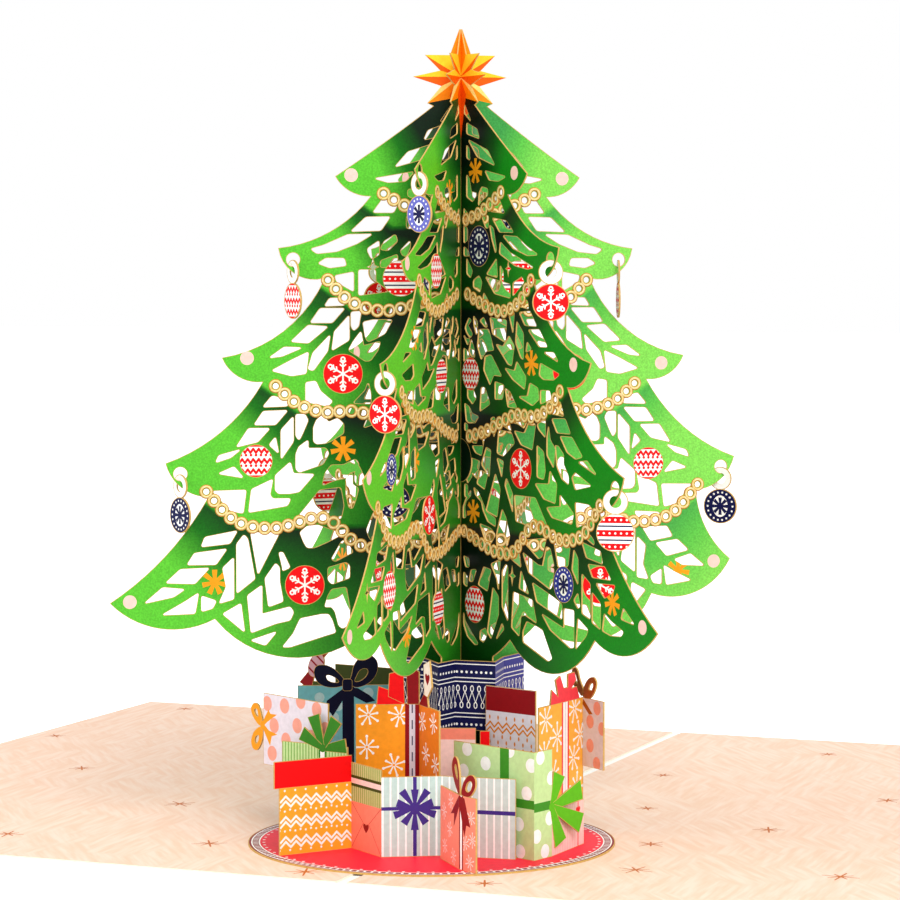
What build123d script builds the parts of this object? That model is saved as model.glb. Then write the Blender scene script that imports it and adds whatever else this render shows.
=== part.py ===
from build123d import *
import os
from math import atan2, cos, degrees, hypot, radians, sin, sqrt

# A pop up card that lies open: a folded board with two printed liners, and a Christmas tree of three
# crossed paper sheets that stands on a round rug among folded paper gifts.
# Millimetres. X runs across the fold, Y along the fold towards the back, Z up. The origin is the middle
# of the fold on the underside of the board.

# Card
panel_width = 127.0
fold_length = 178.0
board_thickness = 0.45
liner_thickness = 0.30
liner_gap = 2.0
liner_margin = 0.4
paper = 0.30

# Rug under the tree
rug_radius = 31.8
rug_centre_y = -50.0
slit_width = 0.5
rug_slit_length = 5.0
rug_slits = (-162.0, -108.0, -38.0)

# Tree: the trunk's axis stands on the fold
trunk_y = -36.5
trunk_radius = 11.0
trunk_bore = 0.5
star_tip_height = 142.0
star_heights = (136.6, 136.6, 133.9, 132.8, 131.2, 128.2)
star_reaches = (1.9, 6.3, 3.6, 8.4, 3.4, 5.9)
tier_reach = (22.1, 32.1, 42.0, 51.9, 61.7)
tip_height = (115.4, 102.9, 83.8, 65.4, 41.0)
notch_reach = (4.9, 15.9, 24.0, 34.9, 44.5)
notch_height = (127.7, 111.9, 97.6, 79.5, 59.4)
rim_drop = (12.5, 9.2, 12.7, 14.2, 17.5)
rim_sag = (0.2, 1.9, 2.9, 2.0, 1.5)
under_sag = (1.0, 1.7, 1.4, 1.1)
hung_extra_sag = 0.5
skirt_notch_reach = (43.4, 16.8)
skirt_notch_height = (38.0, 35.4)
skirt_sag = (3.1, 5.7, 1.5)
skirt_bottom = 29.6
crossing_low = 66.0
crossing_high = 100.0

# Wings of the tree: angle from X about the trunk, reach and lift of the lowest tip, tiers with ornaments.
# On the two wings along the fold some tips are longer or lower, so the ornaments hang clear of the next tier.
long_tips = {0: (3.3, 0.6), 1: (0.3, -2.4), 2: (1.2, 0.0)}
front_left = dict(angle=-85.9, skirt_reach=61.7, skirt_lift=0.0, hung=(0, 2), longer=long_tips)
front_right = dict(angle=-37.4, skirt_reach=61.7, skirt_lift=0.0, hung=(1, 3), longer={})
rear_right = dict(angle=39.2, skirt_reach=51.2, skirt_lift=5.8, hung=(1, 3), longer={})
back = dict(angle=94.1, skirt_reach=61.7, skirt_lift=0.0, hung=(0, 2), longer=long_tips)
back_left = dict(angle=142.6, skirt_reach=61.7, skirt_lift=0.0, hung=(1, 3), longer={})
left = dict(angle=209.1, skirt_reach=61.7, skirt_lift=0.0, hung=(1, 3), longer={})

# Garlands: the line of each chain on a wing, as distance from the axis and height above the card
garland_width = 2.2
garlands = (
    ((13.6, 112.4), (10.0, 110.4), (5.5, 108.6), (0.0, 107.7)),
    ((23.4, 97.3), (20.0, 93.9), (15.5, 92.1), (11.0, 92.2), (5.0, 93.9), (0.0, 95.6)),
    ((32.6, 78.8), (28.7, 75.6), (24.0, 74.2), (18.0, 74.2), (9.0, 71.2), (0.0, 69.6)),
    ((44.8, 60.4), (39.7, 55.2), (32.8, 53.9), (24.2, 55.6), (18.0, 50.8), (11.0, 50.4), (0.0, 53.2)),
)

# Round printed balls in the sheets: distance from the axis, height and radius
ball_places = (
    (3.6, 80.9, 3.0), (20.4, 81.0, 3.4), (10.6, 97.6, 3.2), (36.0, 65.6, 2.9), (20.2, 65.2, 3.4),
    (33.8, 46.5, 3.4), (26.5, 43.4, 3.4), (4.5, 56.8, 2.9), (5.0, 40.5, 3.3),
)
ball_sides = 12

# Openings between the veins of each tier, in percent of the tier's reach and of its rim drop above the tip
tier_openings = (
    (
        ((7, 100), (16, 77), (6, 89)),
        ((10, 74), (26, 64), (29, 52), (10, 60)),
        ((13, 50), (42, 34), (52, 14), (26, 27)),
        ((38, 6), (68, -3), (58, -8), (44, -6)),
        ((10, 2), (14, -3), (17, -22), (26, -25), (19, -35), (10, -28)),
    ),
    (
        ((32, 84), (40, 94), (46, 65), (32, 69)),
        ((34, 55), (48, 49), (55, 29), (41, 30)),
        ((45, 22), (59, 19), (69, 1), (79, -13), (69, -14), (55, -1)),
        ((42, 10), (52, -10), (75, -37), (69, -39), (57, -33), (41, -10)),
        ((38, -21), (39, -55), (28, -49)),
        ((27, -55), (52, -69), (52, -93), (36, -85)),
        ((55, -66), (64, -55), (66, -64), (55, -89)),
        ((14, -62), (20, -53), (23, -65), (21, -83), (14, -74)),
    ),
    (
        ((48, 81), (53, 79), (54, 69), (47, 72)),
        ((47, 63), (55, 65), (60, 46), (51, 47)),
        ((54, 40), (62, 41), (68, 19), (62, 19)),
        ((63, -4), (77, -17), (73, -24), (65, -24), (62, -19)),
        ((45, 51), (50, 35), (50, 1), (48, 3), (44, 23)),
        ((24, 55), (37, 52), (36, 23), (26, 34)),
        ((39, 31), (43, 18), (41, -8), (38, -6), (29, 19), (34, 16)),
        ((45, -3), (52, -23), (51, -39), (42, -27), (36, -13), (43, -16)),
        ((55, -31), (61, -37), (62, -51), (57, -60), (47, -50), (53, -49)),
        ((15, 38), (23, 39), (27, 12), (21, 10), (17, -2), (14, 16)),
        ((20, 2), (25, 4), (33, -23), (27, -22), (24, -36), (19, -16)),
        ((6, -30), (10, -41), (13, -55), (10, -64), (6, -55)),
    ),
    (
        ((57, 74), (63, 82), (65, 66), (58, 68)),
        ((58, 61), (66, 62), (69, 46), (61, 46)),
        ((63, 41), (70, 41), (76, 20), (72, 17), (67, 24)),
        ((70, -6), (72, 0), (81, -13), (72, -19)),
        ((56, 52), (57, 36), (60, 26), (59, 4), (55, 18), (55, 40)),
        ((63, -28), (71, -48), (70, -60), (58, -55), (55, -45), (63, -42)),
        ((72, -35), (80, -36), (83, -43), (81, -54), (73, -63)),
        ((57, -1), (61, -16), (60, -38), (53, -34), (48, -18), (56, -17)),
        ((35, 43), (41, 41), (44, 56), (48, 53), (46, 23), (39, 28)),
        ((25, 42), (33, 41), (35, 29), (28, 12), (24, 15)),
        ((23, -11), (26, -29), (24, -63), (17, -57)),
        ((35, -35), (48, -35), (55, -66), (52, -72), (36, -65)),
        ((7, 5), (13, 2), (11, -19), (6, -9)),
    ),
    (
        ((64, 74), (73, 68), (74, 57), (66, 61)),
        ((67, 54), (75, 54), (78, 43), (69, 43)),
        ((71, 37), (80, 38), (79, 32), (75, 25)),
        ((64, 44), (68, 36), (68, 3), (64, 7)),
        ((69, 28), (73, 19), (73, -5), (69, 0)),
        ((75, 10), (78, 4), (84, -4), (83, -8), (78, -9), (74, -6)),
        ((50, 71), (58, 68), (57, 50), (52, 48)),
        ((34, 56), (42, 46), (50, 45), (49, 28), (48, 25), (37, 38)),
        ((39, 28), (50, 17), (54, 12), (54, -2), (41, 11)),
        ((44, -1), (55, -11), (55, 8), (60, 8), (60, -27), (58, -28), (48, -14)),
        ((36, -11), (44, -16), (49, -42), (47, -45), (34, -31), (34, -21)),
        ((29, 16), (39, 11), (41, -10), (35, -4), (33, -6), (32, -26), (28, -19)),
        ((25, 42), (26, 40), (26, -13), (23, 0), (23, 35)),
        ((13, 36), (17, 34), (15, 13), (10, 18)),
        ((34, 68), (42, 53), (44, 56), (46, 73)),
    ),
)
smallest_opening = 0.9

# Hanging ornaments: a ring through a hole near a tip, a neck and a ball, cut from one paper
ring_radius = 2.1
ring_hole_radius = 1.0
ball_radius = 3.15
neck_width = 1.4
ring_to_ball = 5.05
hole_radius = 1.2
hole_from_tip = 2.6
strip_height = 1.1
hanging_gap = 0.05
ornament_planes = {
    "front_left_upper": (front_left, 0, -27.0),
    "front_left_lower": (front_left, 2, -10.0),
    "left_upper": (left, 1, -38.0),
    "left_lower": (left, 3, -30.0),
    "front_right_upper": (front_right, 1, 32.0),
    "front_right_lower": (front_right, 3, 12.0),
    "rear_right_upper": (rear_right, 1, -66.0),
    "rear_right_lower": (rear_right, 3, -3.0),
    "back_left_upper": (back_left, 1, 52.6),
    "back_left_lower": (back_left, 3, 52.6),
    "back_upper": (back, 0, 4.0),
    "back_lower": (back, 2, 4.0),
}

# Gifts: floor points of each folded strip, and the heights of its edges above the card
front_corners = ((-18.3, -73.2), (-9.9, -61.9), (-1.7, -67.9), (7.1, -62.9), (20.0, -61.5))
red_box_top = 16.0
red_lid_depth = 4.6
lid_overhang = 1.0
envelope_top = 14.8
blue_box_top = 13.6
salmon_corners = ((8.0, -65.2), (14.4, -72.8), (18.5, -75.7))
salmon_top = 12.4
dotted_corners = ((5.9, -54.1), (23.2, -61.4), (24.5, -56.6), (25.5, -43.4))
dotted_top = 18.3
low_pink_top = 7.8
lilac_corners = ((-32.3, -49.5), (-16.0, -57.9))
lilac_low = 11.3
lilac_top = 24.0
lilac_leg = (8.0, 17.0)
striped_corners = ((-25.2, -57.0), (-11.6, -59.6))
striped_top = 16.9
aqua_corners = ((-29.3, -41.8), (-14.6, -34.4))
aqua_top = 24.5
olive_corners = ((-29.1, -25.6), (-12.4, -28.2))
olive_top = 26.5
olive_tab_top = 23.0
olive_tab_width = 7.2
snow_corners = ((-11.2, -57.2), (-3.7, -53.1), (-1.4, -52.2), (5.6, -60.0))
snow_top = 24.1
salmon_box_corners = ((1.3, -49.6), (7.2, -47.4))
salmon_box_top = 19.6
small_box_corners = ((7.9, -47.2), (9.5, -46.6))
small_box_top = 19.1
lidded_corners = ((8.4, -45.5), (19.0, -49.2))
lidded_top = 26.9
right_corners = ((19.4, -49.2), (21.9, -33.6), (27.4, -38.0))
right_top = 24.0
right_low = 12.0

# Bows: the outline of each loop on the panel that carries it, and of the eye inside the loop
navy_bow = (
    (((8.4, 24.4), (6.8, 24.0), (5.1, 24.1), (3.6, 24.8), (2.9, 26.2), (2.9, 27.5), (3.6, 28.2), (5.0, 28.2),
      (6.4, 27.6), (7.6, 26.5), (8.8, 25.0)),
     ((4.8, 26.5), (5.1, 25.4), (6.1, 24.9), (7.2, 24.8), (7.7, 25.0), (6.9, 25.8), (5.8, 26.4))),
    (((9.0, 24.7), (9.6, 26.1), (9.9, 27.8), (10.7, 29.1), (12.0, 29.9), (13.2, 29.9), (14.2, 29.0),
      (14.5, 27.9), (14.2, 26.4), (13.3, 25.1), (12.0, 24.3), (10.4, 23.9)),
     ((9.9, 24.9), (10.3, 25.9), (10.9, 27.1), (11.7, 27.7), (12.7, 27.6), (12.9, 26.9), (12.4, 25.9),
      (11.4, 25.1), (10.5, 24.8))),
)
orange_bow = (
    (((-0.2, 18.9), (-0.9, 20.6), (-1.5, 21.9), (-2.9, 22.0), (-3.8, 20.9), (-3.3, 19.6), (-1.6, 18.1),
      (-0.2, 17.9)),
     ((-1.3, 19.3), (-1.7, 21.0), (-2.6, 21.1), (-2.9, 20.5), (-2.2, 19.6))),
    (((-0.2, 18.1), (-1.6, 17.7), (-3.0, 16.7), (-3.8, 15.0), (-3.2, 13.6), (-1.8, 13.4), (-0.5, 15.1),
      (-0.1, 16.7)),
     ((-1.2, 16.6), (-2.5, 16.0), (-2.8, 15.0), (-2.2, 14.4), (-1.3, 15.4))),
)
salmon_left_loop = (
    (((9.6, 12.3), (7.6, 13.9), (6.2, 15.6), (6.0, 17.2), (7.4, 18.6), (9.0, 18.2), (10.1, 16.0), (10.4, 12.3)),
     ((9.3, 14.4), (7.9, 15.6), (7.3, 16.8), (8.0, 17.5), (8.8, 17.0), (9.4, 15.6))),
)
salmon_right_loop = (
    (((0.4, 12.3), (1.0, 14.4), (2.4, 15.9), (3.9, 16.3), (5.0, 15.6), (4.9, 14.0), (3.2, 12.3)),
     ((1.6, 13.4), (2.3, 14.8), (3.6, 15.4), (4.2, 14.8), (3.6, 13.5), (2.5, 12.9))),
)
brown_bow = (
    (((0.1, 23.9), (0.3, 25.6), (1.9, 27.5), (3.8, 28.1), (4.9, 27.1), (4.2, 25.4), (2.7, 23.9)),
     ((1.8, 25.4), (2.4, 26.6), (3.5, 27.1), (3.9, 26.6), (3.2, 25.3))),
    (((0.0, 23.9), (-1.5, 25.0), (-3.5, 26.1), (-3.8, 27.7), (-2.8, 29.2), (-1.5, 28.7), (-0.9, 27.0),
      (0.6, 25.2)),
     ((-1.2, 25.8), (-2.7, 26.7), (-2.9, 27.8), (-2.2, 28.0), (-1.7, 27.0))),
)
crown_bow = (
    (4.0, 23.9), (4.5, 26.6), (6.8, 25.1), (5.8, 28.1), (7.5, 28.7), (8.8, 26.4), (10.2, 26.4), (10.2, 28.7),
    (12.6, 28.8), (13.2, 27.4), (11.5, 26.0), (13.4, 26.2), (14.5, 23.9),
)
# Pinwheel bows: direction and reach of each flat blade
leaf_blades = ((9, 5.0), (61, 5.9), (109, 5.9), (153, 5.0))
pinwheel_blades = ((68, 5.8), (12, 9.0), (-24, 9.6), (-68, 7.0))

# Navy collar round the trunk: it runs from wing to wing and dips between them
collar_low = 18.6
collar_top = 30.8
collar_clearance = 0.6
collar_dip = 8.0
front_clearance = 1.6
front_dip = (7.6, -76.0)

card_top = board_thickness + liner_thickness
rug_top = card_top + paper


def save(shape, name):
    """Write one sub-part under its own name."""
    shape.label = name
    export_step(shape, f"parts/{name}.step")


def polygon(points):
    """A flat face with straight edges, in the plane where its points are given."""
    return Polygon(*points, align=None)


def arc_middle(start, end, sag):
    """The middle of an arc that hangs below its chord by sag."""
    across = end[0] - start[0]
    up = end[1] - start[1]
    chord = hypot(across, up)
    side = -1.0 if across > 0 else 1.0
    middle_x = (start[0] + end[0]) / 2 - side * sag * up / chord
    middle_z = (start[1] + end[1]) / 2 + side * sag * across / chord
    return (middle_x, middle_z)


def band(line, width):
    """A strip of even width along a line of points."""
    strips = []
    for first, second in zip(line, line[1:]):
        across = second[0] - first[0]
        up = second[1] - first[1]
        length = hypot(across, up)
        strip = Rectangle(length, width, align=(Align.MIN, Align.CENTER))
        strips.append(Pos(first[0], first[1]) * Rot(0, 0, degrees(atan2(up, across))) * strip)
        strips.append(Pos(second[0], second[1]) * RegularPolygon(width / 2, 8))
    return strips


# Tree

def tip(wing, tier):
    """The tip of one tier of a wing: distance from the axis and height above the card."""
    if tier == len(tier_reach) - 1:
        return (wing["skirt_reach"], tip_height[tier] + wing["skirt_lift"])
    longer, higher = wing["longer"].get(tier, (0.0, 0.0))
    return (tier_reach[tier] + longer, tip_height[tier] + higher)


def notch(tier):
    """Where a tier's rim starts from the underside of the tier above."""
    return (notch_reach[tier], notch_height[tier])


def skirt_place(wing, reach, height):
    """Move a point of the lowest tier with that wing's own reach and lift."""
    share = reach / tier_reach[-1]
    return (share * wing["skirt_reach"], height + wing["skirt_lift"] * share ** 2)


def underside_sag(wing, tier):
    """How far the underside of a tier hangs below its chord; a tip with a hole hangs lower."""
    return under_sag[tier] + (hung_extra_sag if tier in wing["hung"] else 0.0)


def wing_outline(wing):
    """The outer edge of one wing, with its half of the star and its strip of trunk."""
    edges = []
    star = [(0.0, star_tip_height)] + list(zip(star_reaches, star_heights)) + [notch(0)]
    for first, second in zip(star, star[1:]):
        edges.append(Line(first, second))
    last = len(tier_reach) - 1
    for tier in range(last + 1):
        middle = arc_middle(notch(tier), tip(wing, tier), rim_sag[tier])
        edges.append(ThreePointArc(notch(tier), middle, tip(wing, tier)))
        if tier < last:
            middle = arc_middle(tip(wing, tier), notch(tier + 1), underside_sag(wing, tier))
            edges.append(ThreePointArc(tip(wing, tier), middle, notch(tier + 1)))
    corners = [tip(wing, last)]
    for reach, height in zip(skirt_notch_reach, skirt_notch_height):
        corners.append(skirt_place(wing, reach, height))
    corners.append((0.0, skirt_bottom))
    for first, second, sag in zip(corners, corners[1:], skirt_sag):
        edges.append(ThreePointArc(first, arc_middle(first, second, sag), second))
    edges.append(Line((0.0, skirt_bottom), (0.0, star_tip_height)))
    skirt = make_face(edges)
    trunk = Rectangle(trunk_radius, skirt_notch_height[1] - paper, align=(Align.MIN, Align.MIN))
    return skirt + Pos(0, paper) * trunk


def underside(wing, tier, reach):
    """Height of the underside of a tier at a distance from the axis, on its arc."""
    start = tip(wing, tier)
    end = notch(tier + 1)
    chord = hypot(start[0] - end[0], start[1] - end[1])
    sag = underside_sag(wing, tier)
    radius = (chord ** 2 / 4 + sag ** 2) / (2 * sag)
    middle = arc_middle(start, end, sag)
    base = ((start[0] + end[0]) / 2, (start[1] + end[1]) / 2)
    centre_x = middle[0] + (base[0] - middle[0]) * radius / sag
    centre_z = middle[1] + (base[1] - middle[1]) * radius / sag
    return centre_z - sqrt(radius ** 2 - (reach - centre_x) ** 2)


def hole_place(wing, tier):
    """Centre of the hole that an ornament's ring passes through."""
    reach = tip(wing, tier)[0] - hole_from_tip
    return (reach, underside(wing, tier, reach) + strip_height + hole_radius)


def opening_points(wing, tier, opening):
    """One opening of a tier, in millimetres from the axis and the card."""
    points = []
    for share, rise in opening:
        reach = tier_reach[tier] * share / 100
        height = tip_height[tier] + rim_drop[tier] * rise / 100
        if tier == len(tier_reach) - 1:
            reach, height = skirt_place(wing, reach, height)
        points.append((reach, height))
    return points


def wing_openings(wing):
    """The openings of a wing, trimmed where its garlands and printed balls pass."""
    openings = []
    for tier, tier_list in enumerate(tier_openings):
        for opening in tier_list:
            openings.append(polygon(opening_points(wing, tier, opening)))
    solid_places = []
    for line in garlands:
        solid_places += band(line, garland_width)
    for reach, height, radius in ball_places:
        solid_places.append(Pos(reach, height) * RegularPolygon(radius, ball_sides))
    trimmed = (Sketch() + openings) - solid_places
    kept = [face for face in trimmed.faces() if face.area > smallest_opening]
    for tier in wing["hung"]:
        kept.append(Pos(*hole_place(wing, tier)) * RegularPolygon(hole_radius, ball_sides))
    return kept


def wing_solid(wing, own_low, own_high):
    """One wing as a sheet; it reaches the axis only between its sheet's own two heights."""
    face = wing_outline(wing) - wing_openings(wing)
    for low, high in ((0.0, own_low), (own_high, star_tip_height)):
        if high > low:
            bore = Rectangle(trunk_bore, high - low, align=(Align.MIN, Align.MIN))
            face = face - Pos(0, low) * bore
    upright = Plane(origin=(0, trunk_y, card_top), x_dir=(1, 0, 0), z_dir=(0, -1, 0))
    solid = extrude(upright * face, paper / 2, both=True)
    turn = Pos(0, trunk_y, 0) * Rot(0, 0, wing["angle"]) * Pos(0, -trunk_y, 0)
    return turn * solid


def tree_sheet(first, second, low, high):
    """Two wings that are one sheet, joined along the axis between two heights."""
    core = Pos(0, trunk_y, card_top + low) * Cylinder(
        paper / 2, high - low, align=(Align.CENTER, Align.CENTER, Align.MIN))
    return wing_solid(first, low, high) + wing_solid(second, low, high) + core


# Ornaments

def hanging_point(wing, tier):
    """The top of the strip that carries an ornament, in the part's frame."""
    reach, height = hole_place(wing, tier)
    angle = radians(wing["angle"])
    return (reach * cos(angle), trunk_y + reach * sin(angle), card_top + height - hole_radius)


def ornament(wing, tier, plane_angle):
    """Ring, neck and ball in a vertical plane through the hanging point."""
    ring_centre = hanging_gap - ring_hole_radius
    ball_centre = ring_centre - ring_to_ball
    flat = Pos(0, ring_centre) * RegularPolygon(ring_radius, 2 * ball_sides)
    flat += Pos(0, ball_centre) * RegularPolygon(ball_radius, 2 * ball_sides)
    flat += Pos(0, (ring_centre + ball_centre) / 2) * Rectangle(neck_width, ring_to_ball)
    flat -= Pos(0, ring_centre) * RegularPolygon(ring_hole_radius, ball_sides)
    upright = Plane(origin=(0, 0, 0), x_dir=(1, 0, 0), z_dir=(0, -1, 0))
    solid = extrude(upright * flat, paper / 2, both=True)
    return Pos(*hanging_point(wing, tier)) * Rot(0, 0, plane_angle) * solid


# Gifts: each is a folded strip that stands upright

def length(first, second):
    """Length of a panel between two floor points."""
    return hypot(second[0] - first[0], second[1] - first[1])


def panel(width, low, high):
    """A plain rectangular panel."""
    return Pos(0, low) * Rectangle(width, high - low, align=(Align.MIN, Align.MIN))


def bow(loops):
    """The loops of a bow, each with its eye cut out."""
    shape = Sketch()
    for outer, eye in loops:
        shape += polygon(outer) - polygon(eye)
    return shape


def blade(x, z, direction, reach, root, end):
    """One flat blade of a pinwheel bow, wider at its end."""
    points = ((0.0, -root), (reach, -end), (reach, end), (0.0, root))
    return Pos(x, z) * Rot(0, 0, direction) * polygon(points)


def strip(corners, silhouettes, base, fold_low, fold_tops):
    """Upright panels along a line of floor points, joined by a small round at each fold."""
    shape = Part()
    for first, second, silhouette in zip(corners, corners[1:], silhouettes):
        across = second[0] - first[0]
        along = second[1] - first[1]
        plane = Plane(origin=(first[0], first[1], base), x_dir=(across, along, 0), z_dir=(along, -across, 0))
        shape += extrude(plane * silhouette, paper / 2, both=True)
    for corner, top in zip(corners[1:], fold_tops):
        fold = Cylinder(paper / 2, top - fold_low, align=(Align.CENTER, Align.CENTER, Align.MIN))
        shape += Pos(corner[0], corner[1], base + fold_low) * fold
    return shape


def save_front_strip():
    """Red lidded box, envelope and the two faces of the pale blue box."""
    widths = [length(*pair) for pair in zip(front_corners, front_corners[1:])]
    red_box = panel(widths[0], 0, red_box_top)
    lid = Pos(-lid_overhang, red_box_top - red_lid_depth) * Rectangle(
        widths[0] + lid_overhang, red_lid_depth, align=(Align.MIN, Align.MIN))
    faces = [red_box + lid, panel(widths[1], 0, envelope_top)]
    faces += [panel(widths[2], 0, blue_box_top), panel(widths[3], 0, blue_box_top)]
    tops = (envelope_top, blue_box_top, blue_box_top)
    save(strip(front_corners, faces, rug_top, 0, tops), "gift_red_box_envelope_blue_box")


def save_salmon_gift():
    """The folded panel in front, with its bow standing up from the fold."""
    first, second = [length(*pair) for pair in zip(salmon_corners, salmon_corners[1:])]
    left_face = panel(first, 0, salmon_top)
    left_face += bow(salmon_left_loop)
    right_face = panel(second, 0, salmon_top)
    right_face += bow(salmon_right_loop)
    save(strip(salmon_corners, [left_face, right_face], rug_top, 0, (salmon_top,)), "gift_salmon_red_bow")


def save_dotted_gift():
    """Green dotted box with half a pinwheel bow on its edge, and the low pink face behind."""
    widths = [length(*pair) for pair in zip(dotted_corners, dotted_corners[1:])]
    side = panel(widths[1], 0, dotted_top)
    for direction, reach in pinwheel_blades:
        side += blade(widths[1], 8.4, direction, reach, 0.6, 1.75)
    faces = [panel(widths[0], 0, dotted_top), side, panel(widths[2], 0, low_pink_top)]
    save(strip(dotted_corners, faces, rug_top, 0, (dotted_top, low_pink_top)), "gift_green_dotted_pink")


def save_lilac_gift():
    """Lilac panel on a hidden leg, with an orange bow past its left edge."""
    width = length(*lilac_corners)
    face = panel(width, lilac_low, lilac_top)
    face += Pos(lilac_leg[0], 0) * Rectangle(lilac_leg[1] - lilac_leg[0], lilac_low + paper,
                                             align=(Align.MIN, Align.MIN))
    face += bow(orange_bow)
    face += Pos(-0.3, 18.2) * Rectangle(1.2, 1.6)
    save(strip(lilac_corners, [face], rug_top, 0, ()), "gift_lilac_orange_bow")


def save_striped_gift():
    """Green striped box with a dark green pinwheel bow on its lid."""
    width = length(*striped_corners)
    face = panel(width, 0, striped_top)
    centre = 0.62 * width
    for direction, reach in leaf_blades:
        face += blade(centre, striped_top - 0.6, direction, reach, 0.5, 1.3)
    save(strip(striped_corners, [face], rug_top, 0, ()), "gift_green_striped")


def save_aqua_gift():
    """Aqua box with a large navy bow."""
    width = length(*aqua_corners)
    face = panel(width, 0, aqua_top)
    face += bow(navy_bow)
    face += Pos(8.9, aqua_top) * Rectangle(1.9, 2.2)
    save(strip(aqua_corners, [face], rug_top, 0, ()), "gift_aqua_navy_bow")


def save_olive_gift():
    """Olive box at the back; a wrapped sweet stands on its low tab."""
    width = length(*olive_corners)
    face = panel(width, 0, olive_top)
    face += Pos(-olive_tab_width, 0) * Rectangle(olive_tab_width + paper, olive_tab_top,
                                                 align=(Align.MIN, Align.MIN))
    face += Pos(-4.2, 26.0) * Rot(0, 0, 62) * Rectangle(4.6, 3.0)
    face += blade(-4.6, 25.6, -118, 4.2, 0.4, 1.5)
    face += blade(-4.0, 26.4, 62, 3.4, 0.4, 1.3)
    save(strip(olive_corners, [face], rug_top, 0, ()), "gift_olive_sweet")


def save_snow_gift():
    """Orange snowflake box folded inwards at its ribbon, with bow and tag."""
    widths = [length(*pair) for pair in zip(snow_corners, snow_corners[1:])]
    left_face = panel(widths[0], 0, snow_top)
    left_face += Pos(0, snow_top) * polygon(((3.6, -0.2), (3.9, 3.1), (8.2, 1.4), (8.5, -0.2)))
    left_face += Pos(0, snow_top) * polygon(((5.6, 1.2), (5.8, 5.2), (8.3, 5.8), (8.5, -0.2)))
    middle_face = panel(widths[1], 0, snow_top)
    middle_face += Pos(0, snow_top) * polygon(((0.4, -0.2), (0.2, 7.2), (widths[1], 5.4), (widths[1], -0.2)))
    right_face = panel(widths[2], 0, snow_top)
    right_face += Pos(0, snow_top) * polygon(((0.2, -0.2), (4.0, 3.0), (5.0, -0.2)))
    right_face += Pos(0, snow_top) * polygon(((3.0, 1.8), (2.6, 7.0), (5.6, 8.0), (6.8, 3.6), (4.6, 1.6)))
    faces = [left_face, middle_face, right_face]
    save(strip(snow_corners, faces, rug_top, 0, (snow_top, snow_top)), "gift_orange_snowflake_tag")


def save_inner_gifts():
    """The small boxes beside the trunk and the lidded box at the right."""
    face = panel(length(*salmon_box_corners), 0, salmon_box_top)
    save(strip(salmon_box_corners, [face], rug_top, 0, ()), "gift_salmon_box")
    face = panel(length(*small_box_corners), 0, small_box_top)
    save(strip(small_box_corners, [face], rug_top, 0, ()), "gift_small_red_box")
    face = panel(length(*lidded_corners), 0, lidded_top)
    save(strip(lidded_corners, [face], rug_top, 0, ()), "gift_dark_red_lid")


def save_right_gift():
    """Orange snowflake box at the right with a crown bow, and the lilac panel folded back from it."""
    first, second = [length(*pair) for pair in zip(right_corners, right_corners[1:])]
    box = panel(first, 0, right_top)
    box += polygon(crown_bow)
    wing_face = panel(second, right_low, right_top) + bow(brown_bow)
    save(strip(right_corners, [box, wing_face], rug_top, right_low, (right_top,)), "gift_orange_lilac_right")


def save_collar():
    """The closed navy strip round the trunk."""
    wings = (front_left, front_right, rear_right, back, back_left, left)
    turns = [wing["angle"] for wing in wings]
    turns.append(turns[0] + 360)
    corners = []
    dips = [(collar_dip, (turn + following) / 2) for turn, following in zip(turns, turns[1:])]
    dips[0] = front_dip
    clearances = [front_clearance] + [collar_clearance] * (len(dips) - 1)
    for turn, clearance, dip in zip(turns, clearances, dips):
        for reach, angle in ((trunk_radius + clearance, turn), dip):
            x = reach * cos(radians(angle))
            y = trunk_y + reach * sin(radians(angle))
            corners.append((x, y))
    corners.append(corners[0])
    faces = []
    for pair in zip(corners, corners[1:]):
        faces.append(panel(length(*pair), collar_low, collar_top))
    tops = [collar_top] * len(faces)
    save(strip(corners, faces, rug_top, collar_low, tops), "collar_navy")


os.makedirs("parts", exist_ok=True)


def save_card():
    """The folded board and its two printed liners."""
    board = Box(2 * panel_width, fold_length, board_thickness, align=(Align.CENTER, Align.CENTER, Align.MIN))
    save(board, "card_cover")
    liner_width = panel_width - liner_margin - liner_gap / 2
    liner = Box(liner_width, fold_length - 2 * liner_margin, liner_thickness,
                align=(Align.MIN, Align.CENTER, Align.MIN))
    right_liner = Pos(liner_gap / 2, 0, board_thickness) * liner
    save(right_liner, "liner_right")
    save(mirror(right_liner, Plane.YZ), "liner_left")


def save_rug():
    """The round rug, with the short slits that the gifts' tabs pass through at its rim."""
    rug = Cylinder(rug_radius, paper, align=(Align.CENTER, Align.CENTER, Align.MIN))
    for direction in rug_slits:
        slit = Box(rug_slit_length, slit_width, paper, align=(Align.CENTER, Align.CENTER, Align.MIN))
        rug -= Rot(0, 0, direction) * Pos(rug_radius - rug_slit_length / 3, 0, 0) * slit
    save(Pos(0, rug_centre_y, card_top) * rug, "rug")


def save_tree():
    """The three crossed sheets of the tree."""
    save(tree_sheet(front_left, back, paper, crossing_low), "tree_sheet_front_to_back")
    save(tree_sheet(front_right, back_left, crossing_low, crossing_high), "tree_sheet_right_front_to_left_back")
    save(tree_sheet(rear_right, left, crossing_high, star_tip_height), "tree_sheet_right_rear_to_left")


def save_ornaments():
    """Twelve hanging ornaments."""
    for name, (wing, tier, plane_angle) in ornament_planes.items():
        save(ornament(wing, tier, plane_angle), "ornament_" + name)


save_card()
save_rug()
save_tree()
save_ornaments()
save_collar()
save_front_strip()
save_salmon_gift()
save_dotted_gift()
save_lilac_gift()
save_striped_gift()
save_aqua_gift()
save_olive_gift()
save_snow_gift()
save_inner_gifts()
save_right_gift()
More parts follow.
